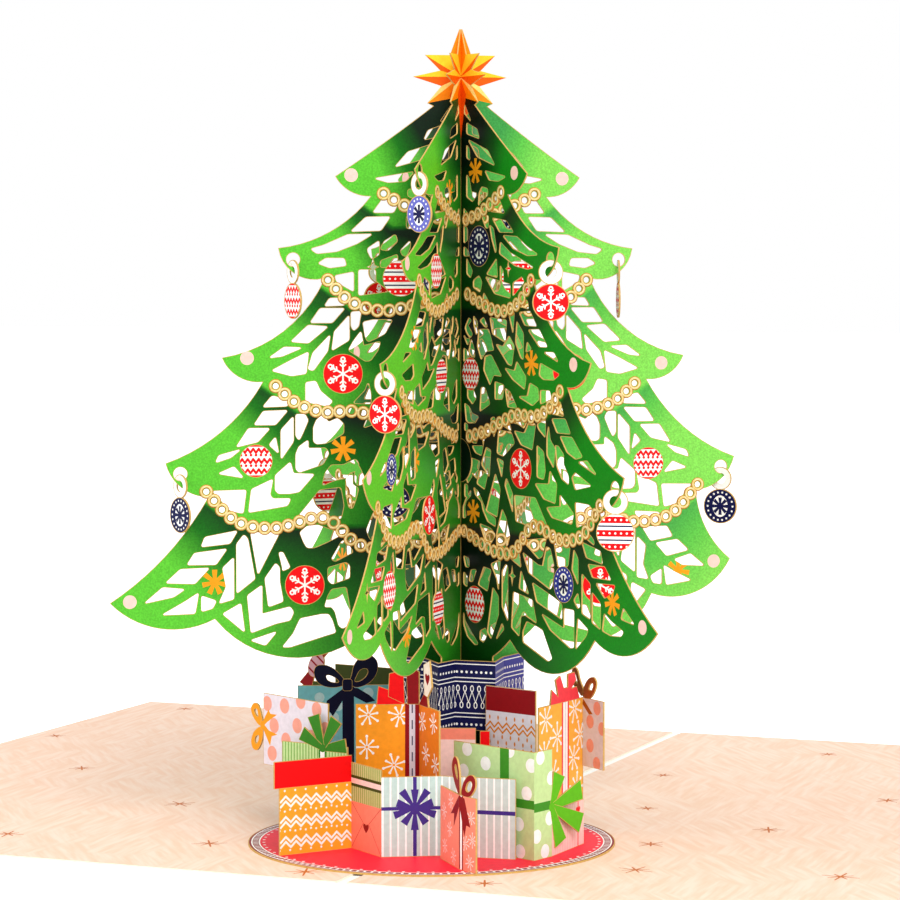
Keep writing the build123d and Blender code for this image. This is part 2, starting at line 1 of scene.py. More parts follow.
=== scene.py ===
from math import atan2, ceil, cos, degrees, hypot, pi, radians, sin, sqrt, tan

import bpy
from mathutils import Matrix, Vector
from mathutils.geometry import delaunay_2d_cdt


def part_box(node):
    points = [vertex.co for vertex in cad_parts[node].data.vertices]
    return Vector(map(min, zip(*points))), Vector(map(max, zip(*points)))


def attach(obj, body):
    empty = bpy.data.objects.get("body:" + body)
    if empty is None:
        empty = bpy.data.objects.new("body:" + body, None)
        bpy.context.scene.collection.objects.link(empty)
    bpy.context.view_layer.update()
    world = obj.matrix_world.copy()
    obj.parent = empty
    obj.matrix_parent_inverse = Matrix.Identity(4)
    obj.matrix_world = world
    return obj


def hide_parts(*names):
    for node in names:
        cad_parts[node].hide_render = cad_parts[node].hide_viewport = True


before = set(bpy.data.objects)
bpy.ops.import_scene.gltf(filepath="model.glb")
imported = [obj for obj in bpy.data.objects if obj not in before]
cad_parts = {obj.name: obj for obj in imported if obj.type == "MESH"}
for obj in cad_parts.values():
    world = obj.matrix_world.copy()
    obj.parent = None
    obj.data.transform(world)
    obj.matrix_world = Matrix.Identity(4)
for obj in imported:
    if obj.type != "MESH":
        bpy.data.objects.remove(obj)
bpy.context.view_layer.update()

bl_info = {
    "name": "Pop up card with a paper tree",
    "version": (1, 0, 0),
    "blender": (4, 5, 0),
    "location": "View3D > Sidebar > Card",
    "description": "Dresses the frame of a pop up card: printed liners, rug, cut tree, garlands and gifts",
    "category": "Object",
}

# Millimetres become Blender's metres in one place
MM = 0.001
BODY = "card"

# Sizes that the frame gives: the top of the liners and of the rug, and the paper's thickness
LINER_LOW, LINER_HIGH = (corner[2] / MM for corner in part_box("liner_left"))
RUG_LOW, RUG_HIGH = (corner[2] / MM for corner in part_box("rug"))
CARD_TOP = LINER_HIGH
PAPER = RUG_HIGH - RUG_LOW

# The wings are drawn a little thinner than the frame's
WING_PAPER = 0.75 * PAPER

# Millimetres on a sheet for one unit of its UV map
SHEET_UV = 100

# The tree's axis on the fold, its trunk, and the half star at its top as distances from the axis and heights
TRUNK_Y = -36.5
TRUNK_RADIUS = 11.0
TRUNK_SHOULDER = 2.2
AXIS_CLEARANCE = 0.25
STAR_TIP = 142.0
STAR_TIP_TRIM = 0.9
STAR_CENTRE = 132.8
STAR_FOOT = 121.0
STAR_OUTLINE = ((1.9, 136.6), (6.3, 136.6), (3.6, 133.9), (8.4, 132.8), (3.4, 131.2), (5.9, 128.2))

# Tiers from the top down: reach and height of each tip, the notch above it, and the sag of its edges
TIER_REACH = (22.1, 32.1, 42.0, 51.9, 61.7)
TIP_HEIGHT = (115.4, 102.9, 83.8, 65.4, 41.0)
NOTCHES = ((4.9, 127.7), (15.9, 111.9), (24.0, 97.6), (34.9, 79.5), (44.5, 59.4))
RIM_DROP = (12.5, 9.2, 12.7, 14.2, 17.5)
RIM_SAG = (0.2, 1.9, 2.9, 2.0, 1.5)
UNDER_SAG = (1.0, 1.7, 1.4, 1.1)
HUNG_EXTRA_SAG = 0.5

# The scalloped underside of the lowest tier
SKIRT_NOTCHES = ((43.4, 38.0), (16.8, 35.4))
SKIRT_SAG = (3.1, 5.7, 1.5)
SKIRT_BOTTOM = 29.6

# The holes that carry ornaments, in a strip of paper along the tier's underside
HOLE_RADIUS = 1.2
HOLE_FROM_TIP = 2.6
STRIP_HEIGHT = 1.1

# How much further and higher the tips of the front left wing reach, by tier
LONG_TIPS = {0: (3.3, 0.6), 1: (0.3, -2.4), 2: (1.2, 0.0)}


def wing_facts(angle, hung, green, reach=TIER_REACH[-1], lift=0.0, longer=None, side=False):
    """A wing's direction, the tiers that carry ornaments, its green (one of the lit and shaded copies of the
    same paper), reach and lift, and its slots' kind.
    """
    return {"angle": angle, "hung": hung, "green": green, "reach": reach, "lift": lift,
            "longer": longer or {}, "side": side}


# Each wing's green names one of the lit and shaded copies of the same green paper: painted light and painted
# shade for how the wing faces the lamps
WINGS = {
    "front_left": wing_facts(-85.9, (0, 2), "lit", longer=LONG_TIPS),
    "front_right": wing_facts(-37.4, (1, 3), "deep"),
    "rear_right": wing_facts(39.2, (1, 3), "bright", reach=51.2, lift=5.8, side=True),
    "back": wing_facts(94.1, (0, 2), "bright", longer=LONG_TIPS),
    "back_left": wing_facts(142.6, (1, 3), "middle", side=True),
    "left": wing_facts(209.1, (1, 3), "middle", side=True),
}
SHEETS = {
    "tree_sheet_front_to_back": ("front_left", "back"),
    "tree_sheet_right_front_to_left_back": ("front_right", "back_left"),
    "tree_sheet_right_rear_to_left": ("rear_right", "left"),
}

# Each opening is rounded at its corners and drawn a little larger than noted
OPENING_ROUNDING = 0.35
OPENING_GROWTH = 0.08

# Openings between the veins, in percent of a tier's reach and of its rim drop above the tip
OPENINGS = (
    (
        ((7, 100), (16, 77), (6, 89)),
        ((10, 74), (26, 64), (29, 52), (10, 60)),
        ((13, 50), (42, 34), (52, 14), (26, 27)),
        ((38, 6), (68, -3), (58, -8), (44, -6)),
        ((10, 2), (14, -3), (17, -22), (26, -25), (19, -35), (10, -28)),
        ((10, 43), (14, 38), (15, 23), (10, 26)),
        ((29, -24), (33, -16), (42, -19), (42, -27), (33, -34), (28, -41)),
        ((33, -56), (43, -56), (43, -72), (39, -72)),
    ),
    (
        ((32, 84), (40, 94), (46, 65), (32, 69)),
        ((34, 55), (48, 49), (55, 29), (41, 30)),
        ((45, 22), (59, 19), (69, 1), (79, -13), (69, -14), (55, -1)),
        ((42, 10), (52, -10), (75, -37), (69, -39), (57, -33), (41, -10)),
        ((38, -21), (39, -55), (28, -49)),
        ((27, -55), (52, -69), (52, -93), (36, -85)),
        ((55, -66), (64, -55), (66, -64), (55, -89)),
        ((14, -62), (20, -53), (23, -65), (21, -83), (14, -74)),
        ((25, -85), (31, -105), (23, -110)),
        ((7, -20), (13, -44), (11, -56), (7, -48)),
        ((31, 42), (35, 35), (38, -4), (37, -9), (33, 18)),
        ((42, -34), (45, -45), (45, -65), (42, -63)),
        ((4, 75), (9, 62), (9, 48), (4, 56)),
        ((4, 44), (8, 36), (8, 16), (4, 10)),
        ((4, 2), (8, -4), (10, -14), (4, -14)),
    ),
    (
        ((48, 81), (53, 79), (54, 69), (47, 72)),
        ((47, 63), (55, 65), (60, 46), (51, 47)),
        ((54, 40), (62, 41), (68, 19), (62, 19)),
        ((66, 11), (73, 11), (76, 0)),
        ((63, -4), (77, -17), (73, -24), (65, -24), (62, -19)),
        ((53, 24), (56, 15), (52, 11)),
        ((45, 51), (50, 35), (50, 1), (48, 3), (44, 23)),
        ((43, 63), (42, 36), (39, 59)),
        ((24, 55), (37, 52), (36, 23), (26, 34)),
        ((39, 31), (43, 18), (41, -8), (38, -6), (29, 19), (34, 16)),
        ((45, -3), (52, -23), (51, -39), (42, -27), (36, -13), (43, -16)),
        ((55, -31), (61, -37), (62, -51), (57, -60), (47, -50), (53, -49)),
        ((63, -40), (70, -40), (71, -50), (63, -57)),
        ((15, 38), (23, 39), (27, 12), (21, 10), (17, -2), (14, 16)),
        ((20, 2), (25, 4), (33, -23), (27, -22), (24, -36), (19, -16)),
        ((28, -32), (35, -36), (34, -54), (28, -55)),
        ((6, -30), (10, -41), (13, -55), (10, -64), (6, -55)),
        ((17, -41), (20, -41), (24, -62), (16, -73)),
        ((11, 57), (14, 49), (14, 35), (13, 32), (11, 46)),
        ((16, 51), (19, 55), (22, 43), (20, 43)),
        ((7, 54), (9, 51), (6, 44), (8, 39), (10, 32), (8, 27), (5, 35), (4, 41)),
        ((3, 30), (5, 25), (8, 25), (6, 17)),
        ((9, 25), (11, 14), (12, 1), (9, 2), (7, 8)),
        ((3, 12), (6, 8), (8, 2), (4, -3), (3, -6)),
        ((36, -40), (40, -45), (45, -65), (38, -64)),
    ),
    (
        ((57, 74), (63, 82), (65, 66), (58, 68)),
        ((58, 61), (66, 62), (69, 46), (61, 46)),
        ((63, 41), (70, 41), (76, 20), (72, 17), (67, 24)),
        ((74, 13), (79, 15), (84, 1)),
        ((70, -6), (72, 0), (81, -13), (72, -19)),
        ((60, 30), (62, 29), (65, 20), (65, 9), (68, -5), (68, -14), (64, -8), (61, 6)),
        ((56, 52), (57, 36), (60, 26), (59, 4), (55, 18), (55, 40)),
        ((49, 53), (54, 63), (54, 39), (50, 48)),
        ((49, 28), (53, 21), (54, -1), (53, -11), (49, -9)),
        ((57, -1), (61, -16), (60, -38), (53, -34), (48, -18), (56, -17)),
        ((63, -28), (71, -48), (70, -60), (58, -55), (55, -45), (63, -42)),
        ((72, -35), (80, -36), (83, -43), (81, -54), (73, -63)),
        ((35, 43), (41, 41), (44, 56), (48, 53), (46, 23), (39, 28)),
        ((25, 42), (33, 41), (35, 29), (28, 12), (24, 15)),
        ((24, 8), (28, 5), (27, -14)),
        ((23, -11), (26, -29), (24, -63), (17, -57)),
        ((30, -15), (34, -34), (34, -55), (29, -23)),
        ((35, -35), (48, -35), (55, -66), (52, -72), (36, -65)),
        ((7, 5), (13, 2), (11, -19), (6, -9)),
        ((17, 20), (20, 17), (19, -15), (14, -1)),
        ((13, -9), (18, -12), (16, -31), (11, -25)),
        ((13, -75), (20, -79), (23, -86), (18, -104)),
        ((8, 20), (15, 21), (14, 10), (10, 13)),
        ((5, -83), (10, -86), (9, -97), (5, -90)),
        ((3, 72), (6, 68), (8, 60), (12, 57), (10, 50), (6, 49), (4, 51)),
        ((3, 48), (5, 46), (5, 40), (3, 39)),
        ((20, 56), (22, 58), (24, 50), (22, 34), (21, 45)),
        ((24, 56), (28, 57), (32, 52), (33, 43), (28, 49)),
        ((34, 54), (37, 53), (41, 48), (43, 57), (40, 59)),
        ((6, 33), (11, 32), (11, 25), (8, 25)),
        ((4, -20), (7, -10), (8, -16), (5, -26)),
        ((3, -28), (5, -29), (5, -43), (3, -43)),
        ((7, -35), (7, -41), (4, -48), (3, -57), (4, -68), (2, -70), (2, -56), (4, -45)),
        ((9, -31), (12, -36), (15, -49), (17, -59), (23, -66), (23, -75), (18, -70), (15, -57), (14, -47),
         (10, -39)),
        ((78, -70), (81, -71), (83, -77), (83, -81), (78, -74)),
    ),
    (
        ((64, 74), (73, 68), (74, 57), (66, 61)),
        ((67, 54), (75, 54), (78, 43), (69, 43)),
        ((71, 37), (80, 38), (79, 32), (75, 25)),
        ((84, 18), (89, 5), (83, 8)),
        ((64, 44), (68, 36), (68, 3), (64, 7)),
        ((69, 28), (73, 19), (73, -5), (69, 0)),
        ((75, 10), (78, 4), (84, -4), (83, -8), (78, -9), (74, -6)),
        ((62, 25), (63, 13), (62, 11), (60, 18)),
        ((60, 66), (62, 58), (62, 34), (59, 47)),
        ((50, 71), (58, 68), (57, 50), (52, 48)),
        ((34, 56), (42, 46), (50, 45), (49, 28), (48, 25), (37, 38)),
        ((39, 28), (50, 17), (54, 12), (54, -2), (41, 11)),
        ((44, -1), (55, -11), (55, 8), (60, 8), (60, -27), (58, -28), (48, -14)),
        ((62, 1), (67, -8), (66, -14), (61, -28)),
        ((36, -11), (44, -16), (49, -42), (47, -45), (34, -31), (34, -21)),
        ((29, 16), (39, 11), (41, -10), (35, -4), (33, -6), (32, -26), (28, -19)),
        ((33, 38), (37, 17), (32, 21)),
        ((25, 42), (26, 40), (26, -13), (23, 0), (23, 35)),
        ((18, 17), (21, 9), (21, -9), (17, -34), (15, -28)),
        ((23, -17), (24, -22), (20, -33)),
        ((13, 36), (17, 34), (15, 13), (10, 18)),
        ((6, 31), (9, 32), (7, 20), (5, 20)),
        ((34, 68), (42, 53), (44, 56), (46, 73)),
        ((17, 40), (22, 46), (21, 16), (20, 27)),
        ((23, 96), (25, 88), (27, 71), (26, 62), (21, 53), (20, 61), (20, 71), (21, 80)),
        ((26, 52), (31, 61), (32, 56), (33, 42), (29, 47)),
        ((46, 65), (48, 64), (50, 48), (44, 45)),
        ((2, 44), (5, 42), (5, 34), (3, 34)),
        ((2, 28), (4, 24), (4, 14), (2, 16)),
        ((2, -13), (3, -22), (6, -31), (10, -42), (8, -43), (4, -36), (2, -25)),
        ((11, -29), (14, -25), (15, -30), (13, -39), (11, -37)),
    ),
)

# The broad wings at the sides: their own slots, outside a share of the reach in percent
SIDE_FROM = (200, 28, 29, 33, 32)
SIDE_OPENINGS = (
    (),
    (
        ((34, 89), (43, 92), (48, 68), (37, 68)),
        ((39, 59), (52, 58), (60, 32), (44, 34)),
        ((49, 26), (62, 25), (75, 5), (82, -2), (79, -10), (68, -6), (57, 9)),
        ((35, 13), (36, 25), (42, 12), (44, -2), (40, -4)),
        ((64, -20), (74, -20), (78, -29), (72, -37), (63, -33)),
        ((59, -46), (69, -53), (68, -64), (59, -82)),
        ((47, -42), (56, -42), (56, -89), (40, -82), (47, -64)),
        ((44, -25), (35, -13), (35, -25), (38, -35), (44, -36)),
        ((33, -5), (28, 13), (28, 2), (30, -15), (32, -13)),
        ((51, -1), (45, 13), (45, -12), (49, -20), (51, -6)),
    ),
    (
        ((48, 81), (55, 81), (57, 71), (49, 72)),
        ((49, 67), (59, 67), (63, 48), (54, 48)),
        ((56, 42), (64, 44), (71, 22), (64, 20)),
        ((67, 13), (74, 14), (80, 0), (75, 2)),
        ((64, 7), (71, -4), (79, -18), (71, -25), (65, -22)),
        ((55, 30), (62, 6), (64, -16), (62, -18), (56, 9)),
        ((47, 57), (53, 35), (54, 10), (47, 24)),
        ((65, -35), (61, -33), (59, -47), (54, -61), (56, -67), (65, -61)),
        ((46, 62), (42, 63), (43, 43), (45, 37), (46, 43)),
        ((41, 48), (37, 51), (29, 51), (32, 33), (36, 26), (39, 22), (40, 28)),
        ((42, 35), (41, 15), (34, 21), (35, 10), (38, -4), (40, -5), (47, 10), (45, 22)),
        ((45, -63), (40, -46), (39, -36), (38, -51), (38, -64)),
    ),
    (
        ((58, 76), (64, 82), (67, 69), (59, 70)),
        ((67, 63), (59, 64), (63, 47), (70, 47)),
        ((72, 42), (65, 42), (69, 26), (76, 20)),
        ((82, 9), (75, 16), (78, 7), (83, 1)),
        ((82, -13), (77, -5), (74, -18)),
        ((65, 22), (63, 31), (62, 12)),
        ((57, 56), (57, 26), (61, 5), (61, 40)),
        ((71, -33), (64, -21), (65, -40), (64, -45), (58, -45), (59, -53), (72, -61)),
        ((84, -35), (73, -34), (74, -62), (78, -59)),
        ((58, 0), (57, -14), (50, -15), (55, -36), (58, -38), (62, -38), (63, -34), (63, -16)),
        ((56, 59), (53, 59), (52, 52), (54, 35), (55, 28), (56, 33)),
        ((50, 43), (49, 52), (47, 58), (45, 49), (42, 54), (40, 47), (40, 36), (44, 27), (46, 24),
         (49, 23), (50, 26)),
        ((52, 27), (52, 17), (46, 17), (45, 11), (47, -2), (51, -7), (55, -12), (56, -8), (56, 10), (55, 19)),
        ((44, -4), (40, -4), (36, 3), (35, -1), (35, -10), (38, -13), (39, -19), (43, -22), (47, -28),
         (46, -13)),
        ((39, -20), (37, -14), (37, -28), (35, -33), (36, -47), (37, -57), (38, -56), (39, -40)),
        ((36, -13), (35, -4), (33, -19), (33, -26), (35, -29), (36, -24)),
        ((48, -35), (41, -32), (40, -54), (41, -70), (52, -72), (55, -66)),
    ),
    (
        ((73, 65), (64, 71), (66, 59), (74, 56)),
        ((76, 49), (67, 53), (70, 38), (78, 38)),
        ((80, 33), (72, 34), (76, 19), (84, 20)),
        ((85, 15), (79, 13), (82, 6), (90, 0)),
        ((79, 0), (75, 9), (76, -11), (85, -12)),
        ((74, 6), (70, 1), (71, -6), (74, -9)),
        ((68, 34), (65, 44), (65, 3), (69, -1), (67, 15)),
        ((62, 67), (61, 63), (59, 23), (64, 9), (64, 58)),
        ((60, 69), (52, 69), (58, 28)),
        ((53, 38), (52, 34), (52, 20), (51, 0), (55, -5), (56, 23)),
        ((57, 16), (57, -13), (49, -6), (48, -11), (49, -19), (53, -22), (60, -31), (61, 6)),
        ((63, -2), (62, -30), (68, -12)),
        ((60, -39), (53, -31), (56, -44)),
        ((44, 75), (41, 76), (34, 67), (38, 60), (42, 54), (44, 54), (45, 60), (46, 69)),
        ((52, 49), (51, 49), (49, 34), (51, 31), (51, 34)),
        ((34, 60), (32, 60), (32, 54), (31, 49), (36, 40), (37, 42)),
        ((38, 28), (38, 33), (33, 38), (32, 35), (32, 23), (37, 17), (38, 21)),
        ((37, 11), (33, 13), (32, -8), (32, -24), (34, -28), (35, -25), (36, -11), (37, -6), (39, -6),
         (38, 5)),
        ((46, -18), (40, -14), (38, -14), (37, -20), (36, -32), (39, -35), (49, -46), (51, -46), (48, -33)),
    ),
)

# Garlands: the line of each chain on a wing
GARLANDS = (
    ((13.6, 112.4), (10.0, 110.4), (5.5, 108.6), (1.2, 107.7)),
    ((23.4, 97.3), (20.0, 93.9), (15.5, 92.1), (11.0, 92.2), (5.0, 93.9), (1.2, 95.4)),
    ((32.6, 78.8), (28.7, 75.6), (24.0, 74.2), (18.0, 74.2), (9.0, 71.2), (1.2, 69.6)),
    ((44.8, 60.4), (39.7, 55.2), (32.8, 53.9), (24.2, 55.6), (18.0, 50.8), (11.0, 50.4), (1.2, 53.2)),
)

# What is printed on each wing: motif, distance from the axis, height, radius
MOTIFS = {
    "left": (
        ("snow", 20.8, 80.9, 3.5), ("snow", 27.6, 43.8, 3.5), ("zigzag", 36.1, 65.7, 2.9),
        ("stripes", 10.6, 97.6, 3.2), ("flower", 20.8, 67.7, 2.2), ("flower", 43.4, 44.5, 2.2),
        ("dot", 19.3, 115.6, 1.2), ("dot", 37.6, 83.7, 1.2), ("dot", 58.2, 41.2, 1.2),
        ("sparkle", 15.5, 99.6, 1.5), ("navy", 12.0, 58.5, 3.0),
    ),
    "rear_right": (
        ("zigzag", 35.3, 64.4, 2.9), ("snow", 26.2, 42.7, 3.4), ("flower", 41.1, 44.9, 2.2),
        ("dot", 18.8, 115.2, 1.2), ("dot", 37.7, 82.4, 1.2), ("dot", 48.0, 46.4, 1.2),
        ("snow", 20.4, 81.0, 3.3), ("stripes", 10.6, 97.6, 3.1), ("flower", 26.5, 66.0, 2.0),
    ),
    "front_right": (
        ("flower", 5.2, 116.3, 2.2), ("navy", 6.4, 103.2, 3.6), ("zigzag", 3.6, 80.9, 2.9),
        ("flower", 23.6, 83.3, 2.2), ("snow", 20.2, 65.2, 3.5), ("flower", 4.5, 56.8, 2.1),
        ("blue", 33.8, 46.5, 3.1), ("flower", 48.6, 44.8, 2.2), ("zigzag", 5.0, 40.5, 3.3),
        ("dot", 18.0, 115.6, 1.2), ("dot", 36.7, 83.4, 1.2), ("dot", 57.4, 41.6, 1.2),
        ("sparkle", 16.1, 99.3, 1.4), ("sparkle", 7.9, 70.0, 1.7), ("sparkle", 17.5, 46.6, 1.7),
        ("lamp", 0.0, 65.6, 3.9),
    ),
    "front_left": (
        ("flower", 6.7, 112.6, 2.1), ("zigzag", 14.0, 98.9, 3.0), ("flower", 25.9, 87.6, 2.1),
        ("flower", 25.4, 66.9, 2.1), ("stripes", 11.2, 80.8, 3.0), ("blue", 37.8, 66.2, 2.7),
        ("snow", 17.9, 57.2, 3.4), ("zigzag", 38.9, 46.4, 3.2), ("stripes", 12.9, 40.7, 3.0),
        ("sparkle", 8.4, 59.0, 1.6), ("sparkle", 50.0, 47.0, 1.6), ("dot", 29.6, 100.2, 1.2),
        ("dot", 49.0, 65.6, 1.2), ("dot", 58.4, 40.8, 1.2), ("flower", 30.0, 37.8, 2.0),
    ),
    "back": (
        ("flower", 6.7, 112.6, 2.1), ("zigzag", 14.0, 98.9, 3.0), ("stripes", 11.2, 80.8, 3.0),
        ("blue", 37.8, 66.2, 2.7), ("snow", 17.9, 57.2, 3.4), ("zigzag", 38.9, 46.4, 3.2),
        ("stripes", 12.9, 40.7, 3.0), ("dot", 29.6, 100.2, 1.2), ("dot", 49.0, 65.6, 1.2),
        ("dot", 58.4, 40.8, 1.2), ("flower", 25.4, 66.9, 2.1),
    ),
    "back_left": (
        ("snow", 20.8, 80.9, 3.4), ("snow", 27.6, 43.8, 3.4), ("zigzag", 36.1, 65.7, 2.9),
        ("navy", 10.6, 97.6, 3.2), ("flower", 20.8, 67.7, 2.2), ("flower", 43.4, 44.5, 2.2),
        ("dot", 19.3, 115.6, 1.2), ("dot", 37.6, 83.7, 1.2), ("dot", 58.2, 41.2, 1.2),
    ),
}

# Hanging ornaments: wing, tier, direction of the ornament's plane and its print
ORNAMENTS = {
    "front_left_upper": ("front_left", 0, -27.0, "violet"),
    "front_left_lower": ("front_left", 2, -10.0, "snow"),
    "left_upper": ("left", 1, -38.0, "zigzag"),
    "left_lower": ("left", 3, -30.0, "navy"),
    "front_right_upper": ("front_right", 1, 32.0, "snow"),
    "front_right_lower": ("front_right", 3, 12.0, "stripes"),
    "rear_right_upper": ("rear_right", 1, -66.0, "zigzag"),
    "rear_right_lower": ("rear_right", 3, -3.0, "navy"),
    "back_left_upper": ("back_left", 1, 52.6, "snow"),
    "back_left_lower": ("back_left", 3, 52.6, "stripes"),
    "back_upper": ("back", 0, 4.0, "navy"),
    "back_lower": ("back", 2, 4.0, "zigzag"),
}
ORNAMENT_RING = 2.1
ORNAMENT_RING_HOLE = 1.0
ORNAMENT_BALL = 3.15
ORNAMENT_NECK = 1.4
RING_TO_BALL = 5.05
HANGING_GAP = 0.05

# Colours of the inks and papers, sRGB hex
INKS = {
    "white": "#fbf9f4",
    "link edge": "#c68a34",
    "cut edge": "#cda55e",
    "star yellow": "#ffc528",
    "star orange": "#f98a06",
    "star red": "#e65a04",
    "star pale": "#fbd978",
    "red": "#f2040c",
    "navy": "#0e1246",
    "violet": "#6468bd",
    "blue": "#2c3691",
    "orange": "#f79a14",
    "pink": "#f6c8bc",
    "black green": "#04150a",
    "rug red": "#f0203a",
    "dark red": "#8a0610",
    "box orange": "#f9a72c",
    "snow orange": "#f79a1e",
    "brown": "#a8540e",
    "salmon": "#f58a72",
    "deep salmon": "#d95f50",
    "stripe green": "#9dab5a",
    "stripe tan": "#d6cf9a",
    "olive": "#3a450f",
    "pale blue": "#b9d4cd",
    "pale grey": "#c2d2cc",
    "purple": "#3f2c80",
    "mint": "#c2e09c",
    "leaf": "#3d8f22",
    "bright leaf": "#5cb812",
    "dark leaf": "#33801c",
    "lilac": "#e2dae4",
    "lilac dot": "#f0a08c",
    "rose": "#f8d4cc",
    "rose stripe": "#f3b9b0",
    "aqua": "#7ecbd4",
    "midnight": "#090d2e",
    "coral": "#f2404a",
    "grey lilac": "#d6d0da",
    "periwinkle": "#3b3d93",
    "cream": "#f6ecd8",
    "leaf stripe": "#7fb25a",
    "aqua light": "#bfe4e6",
    "lilac sweet": "#c89aa6",
    # The same orange as 'snow orange', made darker: painted shade for the gift's panel that turns from the
    # key light
    "snow orange dark": "#e87a14",
    "brown orange": "#cf7a14",
    "rust": "#c66a22",
    "snow yellow": "#fbb545",
}


def linear(colour):
    """One sRGB hex colour as linear red, green, blue and alpha."""
    values = []
    for start in (1, 3, 5):
        share = int(colour[start:start + 2], 16) / 255
        values.append(share / 12.92 if share <= 0.04045 else ((share + 0.055) / 1.055) ** 2.4)
    return (*values, 1.0)


# Shapes on a flat sheet, as lists of points in millimetres

def area(points):
    """Signed area of a closed outline."""
    total = 0.0
    for first, second in zip(points, points[1:] + points[:1]):
        total += first[0] * second[1] - second[0] * first[1]
    return total / 2


def facing_up(points):
    """The outline with its points anticlockwise."""
    points = [tuple(point) for point in points]
    return points if area(points) > 0 else points[::-1]


def circle(x, z, radius, sides=28):
    """A round outline."""
    return [(x + radius * cos(2 * pi * step / sides), z + radius * sin(2 * pi * step / sides))
            for step in range(sides)]


def ellipse(x, z, half_width, half_height, tilt=0.0, sides=32):
    """An oval outline, turned by tilt degrees."""
    turn = radians(tilt)
    points = []
    for step in range(sides):
        across = half_width * cos(2 * pi * step / sides)
        up = half_height * sin(2 * pi * step / sides)
        points.append((x + across * cos(turn) - up * sin(turn), z + across * sin(turn) + up * cos(turn)))
    return points


def rectangle(low_x, low_z, high_x, high_z):
    """An upright rectangle."""
    return [(low_x, low_z), (high_x, low_z), (high_x, high_z), (low_x, high_z)]


def bar(first, second, width, end_width=None):
    """A straight bar between two points, tapered where its end has another width."""
    end_width = width if end_width is None else end_width
    across, up = second[0] - first[0], second[1] - first[1]
    length = hypot(across, up)
    side = (-up / length / 2, across / length / 2)
    return [(first[0] - side[0] * width, first[1] - side[1] * width),
            (second[0] - side[0] * end_width, second[1] - side[1] * end_width),
            (second[0] + side[0] * end_width, second[1] + side[1] * end_width),
            (first[0] + side[0] * width, first[1] + side[1] * width)]


def away(x, z, direction, distance):
    """The point at a distance from a centre, in a direction in degrees."""
    return (x + distance * cos(radians(direction)), z + distance * sin(radians(direction)))


def spoke(x, z, direction, start, end, width, end_width=None):
    """A bar that points away from a centre, in degrees."""
    return bar(away(x, z, direction, start), away(x, z, direction, end), width, end_width)


def rounded(points, radius, steps=3):
    """The outline with its corners rounded, less where the sides are short."""
    points = facing_up(points)
    most = 0.42
    result = []
    for index, corner in enumerate(points):
        before = points[index - 1]
        after = points[(index + 1) % len(points)]
        reach_before = min(radius, most * hypot(before[0] - corner[0], before[1] - corner[1]))
        reach_after = min(radius, most * hypot(after[0] - corner[0], after[1] - corner[1]))
        start = toward(corner, before, reach_before)
        end = toward(corner, after, reach_after)
        for step in range(steps + 1):
            share = step / steps
            result.append(tuple((1 - share) ** 2 * start[axis] + 2 * share * (1 - share) * corner[axis]
                                + share ** 2 * end[axis] for axis in (0, 1)))
    return result


def toward(point, other, distance):
    """The point moved towards another by a distance."""
    length = max(hypot(other[0] - point[0], other[1] - point[1]), 1e-9)
    return (point[0] + (other[0] - point[0]) * distance / length,
            point[1] + (other[1] - point[1]) * distance / length)


def grown(points, distance):
    """The outline moved outwards by a distance, or inwards where it is negative."""
    points = facing_up(points)
    shortest_side, folded_back, longest_mitre = 1e-6, 0.2, 2.0
    result = []
    for index, corner in enumerate(points):
        before = points[index - 1]
        after = points[(index + 1) % len(points)]
        first = Vector((corner[0] - before[0], corner[1] - before[1]))
        second = Vector((after[0] - corner[0], after[1] - corner[1]))
        if first.length < shortest_side or second.length < shortest_side:
            continue
        normal = Vector((first.y, -first.x)).normalized() + Vector((second.y, -second.x)).normalized()
        if normal.length < folded_back:
            continue
        normal = normal * (2 / normal.length_squared)
        if normal.length > longest_mitre:
            normal = normal.normalized() * longest_mitre
        result.append((corner[0] + normal.x * distance, corner[1] + normal.y * distance))
    return result


def arc(start, end, sag, steps=10):
    """Points from start to just before end, on an arc that hangs below its chord by sag."""
    across, up = end[0] - start[0], end[1] - start[1]
    chord = hypot(across, up)
    side = -1.0 if across > 0 else 1.0
    drop = (side * -up / chord, side * across / chord)
    radius = (chord ** 2 / 4 + sag ** 2) / (2 * sag)
    result = []
    for step in range(steps):
        along = chord * step / steps
        depth = sqrt(max(radius ** 2 - (along - chord / 2) ** 2, 0)) - (radius - sag)
        result.append((start[0] + across * along / chord + drop[0] * depth,
                       start[1] + up * along / chord + drop[1] * depth))
    return result


def along(line, pitch, fineness=12):
    """Points at an even pitch along a smooth line through a few points."""
    smooth = []
    padded = [line[0]] + list(line) + [line[-1]]
    for index in range(1, len(padded) - 2):
        p0, p1, p2, p3 = padded[index - 1:index + 3]
        for step in range(fineness):
            t = step / fineness
            smooth.append(tuple(
                0.5 * (2 * p1[a] + (p2[a] - p0[a]) * t + (2 * p0[a] - 5 * p1[a] + 4 * p2[a] - p3[a]) * t * t
                       + (3 * p1[a] - p0[a] - 3 * p2[a] + p3[a]) * t ** 3) for a in (0, 1)))
    smooth.append(line[-1])
    spots = [smooth[0]]
    left = pitch
    for first, second in zip(smooth, smooth[1:]):
        length = hypot(second[0] - first[0], second[1] - first[1])
        while left <= length:
            spots.append(toward(first, second, left))
            left += pitch
        left -= length
    return spots


